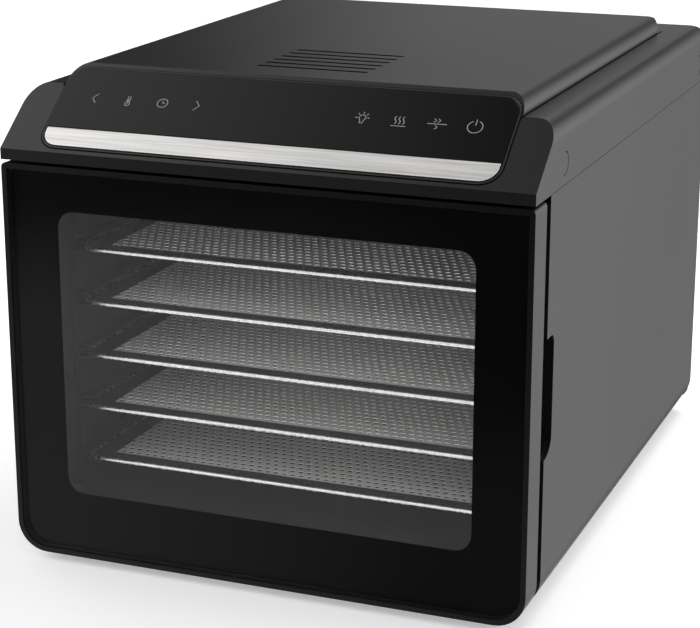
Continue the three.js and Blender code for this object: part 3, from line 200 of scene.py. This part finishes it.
def grained_plastic(name, color, roughness, grain=2600, depth=0.25, specular=0.5):
    """Satin moulding: a fine spark-eroded grain, with slow changes of tone and sheen across it."""
    material, tree, shader = new_material(name, color, roughness)
    shader.inputs["Specular IOR Level"].default_value = specular
    tint(tree, shader, noise(tree, scale=9, detail=3), scaled(color, 0.95), scaled(color, 1.05))
    sheen = noise(tree, scale=5, detail=2)
    tree.links.new(spread(tree, sheen, roughness - 0.012, roughness + 0.012), shader.inputs["Roughness"])
    bump(tree, shader, noise(tree, scale=grain, detail=2), strength=depth, distance=0.06 * MM)
    return material


def plastic_with_painted_front_shade(name, front, sides, roughness):
    """Satin moulding whose face round the door glass is coloured near black: painted shade for the little
    light that reaches that face.
    """
    material, tree, shader = new_material(name, sides, roughness)
    place = tree.nodes.new("ShaderNodeTexCoord")
    axes = tree.nodes.new("ShaderNodeSeparateXYZ")
    tree.links.new(place.outputs["Object"], axes.inputs["Vector"])
    # Painted shade: in front of the fade the face is near black, and behind it the frame keeps the housing's
    # colour
    fade = [DOOR.y[0] + depth for depth in FACE_PAINTED_SHADE_FADE]
    behind = spread(tree, axes.outputs["Y"], 0, 1, fade)
    tint(tree, shader, behind, front, sides, edges=(0, 1))
    bump(tree, shader, noise(tree, scale=2600, detail=2), strength=0.25, distance=0.06 * MM)
    return material


def clear_film(name, color, alpha):
    """Clear heat-reflecting film, which veils what is behind it a little."""
    material, tree, shader = new_material(name, color, 0.8)
    tint(tree, shader, noise(tree, scale=6, detail=3), scaled(color, 0.9), scaled(color, 1.1))
    shader.inputs["Specular IOR Level"].default_value = 0
    shader.inputs["Alpha"].default_value = alpha
    return material


def gloss_black(name, color, roughness, specular=0.5, alpha=1.0, ior=1.5):
    """Polished glass or acrylic, with faint smears that show only in its sheen."""
    material, tree, shader = new_material(name, color, roughness)
    shader.inputs["IOR"].default_value = ior
    tint(tree, shader, noise(tree, scale=5, detail=2), scaled(color, 0.9), scaled(color, 1.1))
    smears = noise(tree, scale=14, detail=6, stretch=(1, 1, 0.4))
    tree.links.new(spread(tree, smears, roughness, roughness + 0.05), shader.inputs["Roughness"])
    shader.inputs["Specular IOR Level"].default_value = specular
    shader.inputs["Alpha"].default_value = alpha
    return material


def metal(name, color, roughness, grain=900, stretch=(1, 1, 1), depth=0.15, metallic=1.0):
    """Bare metal with a fine finish, drawn out along the brushing where stretch says so."""
    material, tree, shader = new_material(name, color, roughness, metallic)
    lines = noise(tree, scale=grain, detail=5, stretch=stretch)
    tint(tree, shader, lines, scaled(color, 0.8), scaled(color, 1.1))
    tree.links.new(spread(tree, lines, roughness - 0.06, roughness + 0.08), shader.inputs["Roughness"])
    bump(tree, shader, lines, strength=depth, distance=0.04 * MM)
    return material


def enamel(name, color, roughness):
    """Sprayed satin enamel on sheet metal, with a slight orange peel."""
    material, tree, shader = new_material(name, color, roughness, metallic=0.35)
    tint(tree, shader, noise(tree, scale=7, detail=3), scaled(color, 0.85), scaled(color, 1.15))
    bump(tree, shader, noise(tree, scale=420, detail=2), strength=0.2, distance=0.08 * MM)
    return material


def soft_rubber(name, color):
    """Matte rubber with a dusty bloom."""
    material, tree, shader = new_material(name, color, 0.85)
    tint(tree, shader, noise(tree, scale=40, detail=6), scaled(color, 0.7), scaled(color, 1.5))
    bump(tree, shader, noise(tree, scale=1500, detail=3), strength=0.3, distance=0.06 * MM)
    return material


def lacquered_board(name, color):
    """Green board lacquer over copper tracks, which show as paler cells."""
    material, tree, shader = new_material(name, color, 0.35)
    place = tree.nodes.new("ShaderNodeTexCoord")
    cells = tree.nodes.new("ShaderNodeTexVoronoi")
    cells.distance = "MANHATTAN"
    cells.inputs["Scale"].default_value = 260
    tree.links.new(place.outputs["Object"], cells.inputs["Vector"])
    tint(tree, shader, cells.outputs["Distance"], scaled(color, 0.7), scaled(color, 1.8), edges=(0.35, 0.45))
    bump(tree, shader, cells.outputs["Distance"], strength=0.2, distance=0.05 * MM)
    return material


def frosted_lens(name, color):
    """Frosted lamp lens that glows faintly."""
    material, tree, shader = new_material(name, color, 0.45)
    bump(tree, shader, noise(tree, scale=700, detail=2), strength=0.4, distance=0.1 * MM)
    shader.inputs["Emission Color"].default_value = (1, 0.97, 0.9, 1)
    shader.inputs["Emission Strength"].default_value = 0.6
    return material


HOUSING_COLOR = (0.0068, 0.0066, 0.0064)
HOUSING_ROUGHNESS = 0.31
HOUSING = grained_plastic("housing_plastic", HOUSING_COLOR, HOUSING_ROUGHNESS)
TRIM = grained_plastic("black_trim", (0.006, 0.006, 0.006), 0.4, grain=1800, depth=0.1)
PANEL_GLASS = gloss_black("panel_glass", (0.004, 0.004, 0.0042), 0.09, specular=0.27)
# A clear sheet keeps only its alpha's share of its gloss, so the index is raised to make up for it
DOOR_GLASS = gloss_black("door_glass", (0.01, 0.01, 0.0105), 0.02, alpha=0.12, ior=2.8)
DOOR_PRINT = gloss_black("door_print", (0.0012, 0.0012, 0.0013), 0.3, specular=0.05)
STRIP = metal("brushed_strip", (0.86, 0.85, 0.83), 0.4, stretch=(0.02, 1, 1), depth=0.25)
STEEL = metal("steel", (0.55, 0.55, 0.54), 0.35, grain=500)
WIRE = metal("tray_wire", (0.62, 0.62, 0.615), 0.26, grain=300, depth=0.01)
RIM = metal("tray_rim", (0.05, 0.05, 0.05), 0.6, grain=500)
MESH = metal("tray_mesh", (0.62, 0.62, 0.61), 0.6, grain=800, metallic=0.35)
CHAMBER = enamel("chamber_metal", (0.06, 0.06, 0.06), 0.6)
LINING = grained_plastic("door_lining", (0.03, 0.03, 0.03), 0.6)
# The door frame's face gets painted shade, near black, where it faces the front
DOOR_FRAME_PAINTED_SHADE = plastic_with_painted_front_shade("door_frame_painted_shade", (0.0015, 0.0015, 0.0015), HOUSING_COLOR, HOUSING_ROUGHNESS)
HAZE = clear_film("window_film", (0.4, 0.4, 0.4), alpha=0.07)
RUBBER = soft_rubber("rubber", (0.012, 0.012, 0.012))
FAN = grained_plastic("fan_plastic", (0.05, 0.05, 0.053), 0.5, grain=1500)
HEATER = metal("heater_metal", (0.3, 0.25, 0.21), 0.45, grain=120, depth=0.3)
MOTOR = metal("motor_metal", (0.5, 0.5, 0.5), 0.4, grain=300)
BOARD = lacquered_board("circuit_board", (0.02, 0.12, 0.045))
LENS = frosted_lens("lamp_lens", (0.85, 0.85, 0.8))
DISPLAY = gloss_black("display", (0.01, 0.01, 0.01), 0.15)
SYMBOLS = grained_plastic("symbol_print", (0.36, 0.36, 0.36), 0.6, grain=3000, depth=0.1)

SLOT_MATERIALS = {
    "housing_plastic": HOUSING,
    "black_trim": TRIM,
    "panel_glass": PANEL_GLASS,
    "door_glass": DOOR_GLASS,
    "brushed_strip": STRIP,
    "steel": STEEL,
    "tray_wire": WIRE,
    "tray_mesh": MESH,
    "chamber_metal": CHAMBER,
    "rubber": RUBBER,
    "fan_plastic": FAN,
    "heater_metal": HEATER,
    "motor_metal": MOTOR,
    "circuit_board": BOARD,
    "lamp_lens": LENS,
    "display": DISPLAY,
}

# Nodes that differ from their slot: a greyer lining round the chamber, and a door frame whose face carries
# painted shade, near black
NODE_MATERIALS = {"door_retainer": LINING, "front_frame": LINING, "door_frame": DOOR_FRAME_PAINTED_SHADE}


# ---------------------------------------------------------------- carried-over CAD pieces
def soften(obj, width):
    """Rounds a faceted solid's edges and shades its curved stretches smoothly."""
    weld = obj.modifiers.new("weld", "WELD")
    weld.merge_threshold = WELD_DISTANCE
    flat = obj.modifiers.new("flat_faces", "DECIMATE")
    flat.decimate_type = "DISSOLVE"
    flat.angle_limit = math.radians(FLAT_DEGREES)
    edge = obj.modifiers.new("edge", "BEVEL")
    edge.width = width * MM
    edge.segments = EDGE_SEGMENTS
    edge.limit_method = "ANGLE"
    edge.angle_limit = math.radians(EDGE_DEGREES)
    edge.use_clamp_overlap = True
    shade = obj.modifiers.new("shade", "WEIGHTED_NORMAL")
    shade.keep_sharp = False
    for polygon in obj.data.polygons:
        polygon.use_smooth = True


def dress_cad_nodes():
    """Gives every CAD node its material and softened edges."""
    for row in frame["record"]["subparts"]:
        name = row["node"]
        obj = NODES[name]
        obj.data.materials.clear()
        obj.data.materials.append(NODE_MATERIALS.get(name, SLOT_MATERIALS[row["material_slot"]]))
        soften(obj, EDGE_WIDTHS.get(name, EDGE_WIDTH))


# ---------------------------------------------------------------- new pieces
def add_piece(name, mesh, materials, body, slot, *replaced):
    """Links a finished mesh that rides on a body, and stands for CAD nodes where any are named."""
    obj = bpy.data.objects.new(name, mesh)
    bpy.context.scene.collection.objects.link(obj)
    for material in materials:
        mesh.materials.append(material)
    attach(obj, body)
    if replaced:
        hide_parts(*replaced)
    return obj


def grown(span, by):
    """A lowest and highest value, each moved outwards."""
    return (span[0] - by, span[1] + by)


def mesh_of(name, points, faces, smooth=False):
    """A mesh from points and faces, shaded smoothly or flat."""
    mesh = bpy.data.meshes.new(name)
    mesh.from_pydata(points, [], faces)
    mesh.validate()
    for polygon in mesh.polygons:
        polygon.use_smooth = smooth
    return mesh


def rounded_rectangle(x, y, radius, upper=None, steps=8):
    """Points round a rectangle, anticlockwise from its lower right corner.

    The upper corners have a radius of their own where upper gives one.
    """
    upper = radius if upper is None else upper
    corners = [
        (x[1], y[0], -90, radius),
        (x[1], y[1], 0, upper),
        (x[0], y[1], 90, upper),
        (x[0], y[0], 180, radius),
    ]
    points = []
    for corner_x, corner_y, start, bend in corners:
        middle_x = corner_x - math.copysign(bend, corner_x - (x[0] + x[1]) / 2)
        middle_y = corner_y - math.copysign(bend, corner_y - (y[0] + y[1]) / 2)
        for step in range(steps + 1):
            angle = math.radians(start + 90 * step / steps)
            points.append((middle_x + bend * math.cos(angle), middle_y + bend * math.sin(angle)))
    return points


def flat_ring(outer, inner, low, high, lay):
    """A plate between two outlines of as many points; lay turns a point and low or high into a place."""
    count = len(outer)
    points = [lay(p, low) for p in outer] + [lay(p, low) for p in inner]
    points += [lay(p, high) for p in outer] + [lay(p, high) for p in inner]
    faces = []
    for i in range(count):
        j = (i + 1) % count
        faces.append((i, i + count, j + count, j))
        faces.append((i + 2 * count, j + 2 * count, j + 3 * count, i + 3 * count))
        faces.append((i, j, j + 2 * count, i + 2 * count))
        faces.append((i + count, i + 3 * count, j + 3 * count, j + count))
    return points, faces


def door_print():
    """The black surround printed on the back of the door glass, round its clear window."""
    outer = rounded_rectangle(
        grown(GLASS.x, -PRINT_EDGE), grown(GLASS.z, -PRINT_EDGE), PRINT_LOWER_CORNER, PRINT_UPPER_CORNER
    )
    start = GLASS.y[1] + PRINT_GAP
    points, faces = flat_ring(
        outer, window_outline(0), start, start + PRINT_THICKNESS, lambda p, y: (p[0], y, p[1])
    )
    add_piece("door_print", mesh_of("door_print", points, faces), [DOOR_PRINT], "door", "black_trim")


def window_outline(margin):
    """The clear window's outline on the door glass, moved outwards by a margin."""
    return rounded_rectangle(
        grown(GLASS.x, margin - WINDOW_SIDE),
        (GLASS.z[0] + WINDOW_BOTTOM - margin, GLASS.z[1] - WINDOW_TOP + margin),
        WINDOW_CORNER + margin,
    )


def window_film():
    """The film on the back of the clear window, which laps a little over the print."""
    outline = window_outline(FILM_LAP)
    start = GLASS.y[1] + PRINT_GAP + PRINT_THICKNESS + PRINT_GAP
    count = len(outline)
    points = [(x, y, z) for y in (start, start + PRINT_THICKNESS) for x, z in outline]
    faces = [tuple(range(count)), tuple(reversed(range(count, 2 * count)))]
    faces += [(i, i + count, (i + 1) % count + count, (i + 1) % count) for i in range(count)]
    add_piece("window_film", mesh_of("window_film", points, faces), [HAZE], "door", "door_glass")


def swept_ring(path, z, radius, sides=12):
    """A round wire that follows a closed outline at one height."""
    count = len(path)
    points, faces = [], []
    for i in range(count):
        before = Vector(path[i - 1])
        after = Vector(path[(i + 1) % count])
        along = (after - before).normalized()
        across = Vector((along.y, -along.x))
        for side in range(sides):
            angle = 2 * math.pi * side / sides
            out = across * radius * math.cos(angle)
            points.append((path[i][0] + out.x, path[i][1] + out.y, z + radius * math.sin(angle)))
        for side in range(sides):
            beside = (side + 1) % sides
            j = (i + 1) % count
            faces.append((i * sides + side, j * sides + side, j * sides + beside, i * sides + beside))
    return points, faces


def tray_frame(number):
    """Bright edge wire with a dark flat rim inside it."""
    name, node = f"tray_wire_{number}", f"tray_frame_{number}"
    place = Span(node)
    z = sum(place.z) / 2
    wire_path = rounded_rectangle(
        grown(place.x, -TRAY_WIRE_RADIUS), grown(place.y, -TRAY_WIRE_RADIUS), TRAY_CORNER - TRAY_WIRE_RADIUS
    )
    points, faces = swept_ring(wire_path, z, TRAY_WIRE_RADIUS)
    inset = 2 * TRAY_WIRE_RADIUS + TRAY_RIM
    rim_points, rim_faces = flat_ring(
        wire_path,
        rounded_rectangle(grown(place.x, -inset), grown(place.y, -inset), TRAY_RIM_CORNER),
        z - TRAY_RIM_THICKNESS / 2,
        z + TRAY_RIM_THICKNESS / 2,
        lambda p, height: (p[0], p[1], height),
    )
    start = len(points)
    rim_faces = [tuple(i + start for i in face) for face in rim_faces]
    mesh = mesh_of(name, points + rim_points, faces + rim_faces)
    for polygon in mesh.polygons:
        polygon.use_smooth = polygon.index < len(faces)
        polygon.material_index = int(polygon.index >= len(faces))
    return add_piece(name, mesh, [WIRE, RIM], f"tray_{number}", "tray_wire", node)


def slit_outline(middle, pitch, z):
    """Points round one slit, from its near left corner: the near edge is pressed down and the far edge up."""
    tip = SLIT_HALF_LENGTH * pitch[0]
    corner = SLIT_STRAIGHT * SLIT_HALF_LENGTH * pitch[0]
    edge = SLIT_HALF_WIDTH * pitch[1]
    turns = [(-corner, -1), (0, -1), (corner, -1), (tip, 0), (corner, 1), (0, 1), (-corner, 1), (-tip, 0)]
    return [(middle[0] + x, middle[1] + side * edge, z + side * SLIT_TILT) for x, side in turns]


def slit_sheet(number):
    """Pulled steel sheet with staggered slits, held under the tray's rim."""
    name, node = f"tray_sheet_{number}", f"tray_mesh_{number}"
    place = Span(node)
    columns = round((place.x[1] - place.x[0]) / SLIT_PITCH[0])
    rows = round((place.y[1] - place.y[0]) / SLIT_PITCH[1])
    pitch = ((place.x[1] - place.x[0]) / columns, (place.y[1] - place.y[0]) / rows)
    z = place.z[1] - SLIT_TILT
    points, faces, corners = [], [], {}
    around_slit = [(0, 0), (1, 0), (2, 0), (2, 1), (2, 2), (1, 2), (0, 2), (0, 1)]
    around_half = [(0, 0), (1, 0), (1, 1), (1, 2), (0, 2), (0, 1)]
    count = len(around_slit)

    def corner(i, j):
        """A point between slits, counted in half pitches."""
        if (i, j) not in corners:
            corners[i, j] = len(points)
            points.append((place.x[0] + i * pitch[0] / 2, place.y[0] + j * pitch[1] / 2, z))
        return corners[i, j]

    for row in range(rows):
        over = row % 2
        j = 2 * row
        for column in range(columns - over):
            i = 2 * column + over
            outside = [corner(i + across, j + along) for across, along in around_slit]
            middle = (place.x[0] + (i + 1) * pitch[0] / 2, place.y[0] + (j + 1) * pitch[1] / 2)
            inside = range(len(points), len(points) + count)
            points += slit_outline(middle, pitch, z)
            for k in range(count):
                after = (k + 1) % count
                faces.append((outside[k], outside[after], inside[after], inside[k]))
        if over:  # a row set over by half leaves half a place at each end, with no slit
            for i in (0, 2 * columns - 1):
                faces.append(tuple(corner(i + across, j + along) for across, along in around_half))
    mesh = mesh_of(name, points, faces)
    piece = add_piece(name, mesh, [MESH], f"tray_{number}", "tray_mesh", node)
    thicken = piece.modifiers.new("thickness", "SOLIDIFY")
    thicken.thickness = SHEET_THICKNESS
    thicken.offset = -1
    return piece


# ---------------------------------------------------------------- touch symbols
# A symbol is a list of lines, and a line is a list of points in millimetres round the touch point's middle.
def on_panel(x, up, out):
    """A place on the sloping panel: across, up the slope and out of its glass."""
    height = PANEL_FACE + out
    return (
        x,
        COVER.y[0] + up * math.cos(SLOPE_ANGLE) - height * math.sin(SLOPE_ANGLE),
        LIP_TOP + up * math.sin(SLOPE_ANGLE) + height * math.cos(SLOPE_ANGLE),
    )


def arc(cx, cy, radius, start, end, steps=20):
    """Points along a round stretch, between two angles in degrees."""
    return [
        (cx + radius * math.cos(math.radians(a)), cy + radius * math.sin(math.radians(a)))
        for a in (start + (end - start) * i / steps for i in range(steps + 1))
    ]


def wave(x, low, high, swing=0.7, steps=14):
    """One upright wave, as of rising heat."""
    return [
        (x + swing * math.sin(2 * math.pi * i / steps), low + (high - low) * i / steps)
        for i in range(steps + 1)
    ]


def ray(cx, cy, angle, inner, outer):
    """A straight line outwards from a middle."""
    turn = math.radians(angle)
    return [(cx + r * math.cos(turn), cy + r * math.sin(turn)) for r in (inner, outer)]


def power_symbol():
    return [arc(0, 0, 4.6, 115, 425, 30), [(0, 1.2), (0, 5.8)]]


def clock_symbol():
    return [arc(0, 0, 3.4, 0, 360, 28), [(0, 2), (0, 0), (1.7, 0)]]


def thermometer_symbol():
    bulb = arc(0, -2.6, 1.5, 125, 415, 18)
    return [[(-0.85, -1.4), (-0.85, 3.2), (0.85, 3.2), (0.85, -1.4)], bulb, [(0, -2.4), (0, 1.2)]]


def lamp_symbol():
    bulb = arc(0, 0.6, 2.1, -55, 235, 20)
    base = [[(-1.1, -1.3), (-0.9, -3.6)], [(1.1, -1.3), (0.9, -3.6)], [(-0.9, -3.6), (0.9, -3.6)]]
    return [bulb, *base, *(ray(0, 0.6, a, 3.1, 4.6) for a in (0, 45, 90, 135, 180))]


def keep_warm_symbol():
    return [*(wave(x, -2.2, 3.6) for x in (-2.6, 0, 2.6)), [(-4.6, -3.8), (4.6, -3.8)]]


def drying_speed_symbol():
    quick = [[(x - 1, 1.2), (x + 0.6, 2.6), (x - 1, 4)] for x in (-1.4, 1.2)]
    return [*quick, [(-6, 0), (6, 0)], [(-0.8, -4), (0.8, -2.6), (-0.8, -1.2)]]


def chevron(way):
    """An arrow head that points right for 1 and left for -1."""
    return [[(-1.5 * way, 3.8), (1.5 * way, 0), (-1.5 * way, -3.8)]]


def ribbon(line, place):
    """A raised printed line along points in millimetres round a place on the panel."""
    half = SYMBOL_STROKE / 2 / MM
    points, faces = [], []
    for i, point in enumerate(line):
        before = Vector(line[max(i - 1, 0)])
        after = Vector(line[min(i + 1, len(line) - 1)])
        along = (after - before).normalized()
        for side in (-1, 1):
            x = place[0] + point[0] + side * -along.y * half
            up = place[1] + point[1] + side * along.x * half
            points.append(on_panel(x * MM, up * MM, 0))
            points.append(on_panel(x * MM, up * MM, SYMBOL_HEIGHT))
    for i in range(len(line) - 1):
        a, b = i * 4, i * 4 + 4
        for p, q in ((0, 1), (1, 3), (3, 2), (2, 0)):
            faces.append((a + p, a + q, b + q, b + p))
    faces.append((0, 2, 3, 1))
    end = (len(line) - 1) * 4
    faces.append((end, end + 1, end + 3, end + 2))
    return points, faces


def touch_symbols():
    """Arrows, heat and time at the left of the display; lamp, warm, speed and power at its right."""
    left = [chevron(-1), thermometer_symbol(), clock_symbol(), chevron(1)]
    right = [lamp_symbol(), keep_warm_symbol(), drying_speed_symbol(), power_symbol()]
    places = [-TOUCH_FIRST + i * TOUCH_PITCH for i in range(len(left))]
    places += [TOUCH_FIRST - i * TOUCH_PITCH for i in reversed(range(len(right)))]
    points, faces = [], []
    for x, symbol in zip(places, left + right):
        for line in symbol:
            line_points, line_faces = ribbon(line, (x, SYMBOL_ROW))
            base = len(points)
            points += line_points
            faces += [tuple(i + base for i in face) for face in line_faces]
    mesh = mesh_of("panel_symbols", points, faces)
    add_piece("panel_symbols", mesh, [SYMBOLS], "housing", "display")


# ---------------------------------------------------------------- stage
def studio(trays):
    """A pale floor and backdrop under soft light; what glossy faces mirror is the room in studio_walls."""
    corners = [(x * FLOOR_REACH, y * FLOOR_REACH, 0) for x, y in ((-1, -1), (1, -1), (1, 1), (-1, 1))]
    floor_mesh = mesh_of("floor", corners, [(0, 1, 2, 3)])
    floor = add_stage("floor", floor_mesh, pale_paper("floor_paper", FLOOR_GLOW))
    floor.visible_glossy = False
    sides = BACKDROP_SIDES
    turns = [2 * math.pi * i / sides for i in range(sides)]
    ring = [(BACKDROP_RADIUS * math.cos(t), BACKDROP_RADIUS * math.sin(t)) for t in turns]
    wall_points = [(x, y, z) for z in (0, BACKDROP_HEIGHT) for x, y in ring]
    wall_faces = [(i, (i + 1) % sides, (i + 1) % sides + sides, i + sides) for i in range(sides)]
    wall_mesh = mesh_of("backdrop", wall_points, wall_faces, smooth=True)
    backdrop = add_stage("backdrop", wall_mesh, pale_paper("backdrop_paper", BACKDROP_GLOW))
    backdrop.visible_glossy = False
    backdrop.visible_diffuse = False
    backdrop.visible_shadow = False

    bpy.context.scene.world = studio_walls()
    bpy.context.scene.view_settings.view_transform = "Standard"
    softbox("back", place=(0.5, 1.4, 2.2), size=1.2, power=30)
    right = softbox("right", place=(1.3, 0.1, 0.9), size=0.7, power=5, target=(0.5, 0.2, 0))
    right.visible_glossy = False
    softbox("left", place=(-1.4, -1.2, 1.1), size=0.7, power=4, target=(-0.6, -0.9, 0))
    chamber_light(trays)


def add_stage(name, mesh, material):
    """Links a piece of the studio, which isn't part of the object."""
    obj = bpy.data.objects.new(name, mesh)
    bpy.context.scene.collection.objects.link(obj)
    mesh.materials.append(material)
    return obj


def pale_paper(name, glow):
    """White paper that glows a little, so that it stays white without strong lamps."""
    material, tree, shader = new_material(name, (0.9, 0.9, 0.9), 0.9)
    tint(tree, shader, noise(tree, scale=2, detail=2), (0.89, 0.89, 0.89), (0.91, 0.91, 0.91))
    shader.inputs["Emission Color"].default_value = (1, 1, 1, 1)
    shader.inputs["Emission Strength"].default_value = glow
    return material


def studio_walls():
    """The room that glossy faces mirror: each ramp runs between two values of a direction's x, y or z."""
    world = bpy.data.worlds.new("studio")
    world.use_nodes = True
    tree = world.node_tree
    place = tree.nodes.new("ShaderNodeTexCoord")
    direction = tree.nodes.new("ShaderNodeSeparateXYZ")
    tree.links.new(place.outputs["Generated"], direction.inputs["Vector"])
    x, y, z = (direction.outputs[axis] for axis in "XYZ")

    # In front it is dark, but for a glow low down on the left
    at_left, low_down = spread(tree, x, 1, 0, (-0.5, -0.3)), spread(tree, z, 0.26, 0.03, (-0.28, -0.23))
    left_glow = combined(tree, "MULTIPLY", at_left, low_down)
    front = combined(tree, "ADD", left_glow, spread(tree, z, 0.05, 0, (-0.37, -0.32)))

    # Behind, a grey wall fades out at both sides, and a bright panel stands on the right
    wall_left, wall_right = spread(tree, x, 0, 0.33, (-0.44, -0.33)), spread(tree, x, 1, 0.2, (-0.1, 0.18))
    grey_wall = combined(tree, "MULTIPLY", wall_left, wall_right)
    behind = combined(tree, "ADD", grey_wall, spread(tree, x, 0, 2.1, (0.21, 0.5)))
    walls = blended(tree, front, behind, spread(tree, y, 0, 1, (-0.1, 0.3)))

    # The far left and what is far below are bright, for the views from other sides
    walls = combined(tree, "ADD", walls, spread(tree, x, 1.1, 0, (-0.75, -0.58)))
    walls = combined(tree, "ADD", walls, spread(tree, z, 0.9, 0, (-0.62, -0.43)))

    # Overhead it is brightest at the left and towards the front
    over_left, over_front = spread(tree, x, 1.4, 0.15, (-0.55, -0.28)), spread(tree, y, 0.7, 0, (-0.5, -0.15))
    overhead = combined(tree, "ADD", over_left, over_front)
    room = blended(tree, walls, overhead, spread(tree, z, 0, 1, (0.35, 0.7)))

    background = tree.nodes["Background"]
    tree.links.new(room, background.inputs["Strength"])
    background.inputs["Color"].default_value = (1, 1, 1, 1)
    return world


def blended(tree, first, second, share):
    """The first value where the share is 0, the second where it is 1."""
    blend = tree.nodes.new("ShaderNodeMix")
    tree.links.new(share, blend.inputs["Factor"])
    tree.links.new(first, blend.inputs["A"])
    tree.links.new(second, blend.inputs["B"])
    return blend.outputs["Result"]


def combined(tree, operation, first, second):
    """The two values added or multiplied."""
    node = tree.nodes.new("ShaderNodeMath")
    node.operation = operation
    tree.links.new(first, node.inputs[0])
    tree.links.new(second, node.inputs[1])
    return node.outputs["Value"]


def softbox(name, place, size, power, target=(0, 0, 0.15)):
    """A square lamp of so many watts, turned towards a target."""
    data = bpy.data.lights.new(name, "AREA")
    data.size = size
    data.energy = power
    light = bpy.data.objects.new(name, data)
    light.location = place
    aim = Vector(target) - light.location
    light.rotation_euler = aim.to_track_quat("-Z", "Y").to_euler()
    bpy.context.scene.collection.objects.link(light)
    return light


def chamber_light(trays):
    """A broad glow behind the door's window that faces back, and falls on the trays alone."""
    middle = (GLASS.z[0] + GLASS.z[1]) / 2
    place = (0, GLASS.y[1] + CHAMBER_LIGHT_SETBACK, middle)
    width = GLASS.x[1] - GLASS.x[0] - 2 * WINDOW_SIDE
    light = softbox("chamber", place, width, CHAMBER_LIGHT_POWER, target=(0, 1, middle))
    light.data.shape = "RECTANGLE"
    light.data.size_y = GLASS.z[1] - GLASS.z[0] - WINDOW_BOTTOM - WINDOW_TOP
    lit = bpy.data.collections.new("lit_in_the_chamber")
    for tray in trays:
        lit.objects.link(tray)
    light.light_linking.receiver_collection = lit


def camera():
    """The photo's view, from the front right and above."""
    data = bpy.data.cameras.new("camera")
    data.lens = FOCAL_LENGTH
    data.sensor_width = SENSOR_WIDTH
    view = bpy.data.objects.new("camera", data)
    front = COVER.y[0]
    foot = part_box("outer_shell")[0].z
    view.location = (CAMERA_RIGHT, front - CAMERA_IN_FRONT, foot + CAMERA_HEIGHT)
    view.rotation_euler = (math.radians(90 - CAMERA_DOWN), 0, math.radians(CAMERA_LEFT))
    bpy.context.scene.collection.objects.link(view)
    bpy.context.scene.camera = view


camera()
dress_cad_nodes()
door_print()
window_film()
touch_symbols()
numbers = range(1, TRAY_COUNT + 1)
studio([tray_frame(number) for number in numbers] + [slit_sheet(number) for number in numbers])
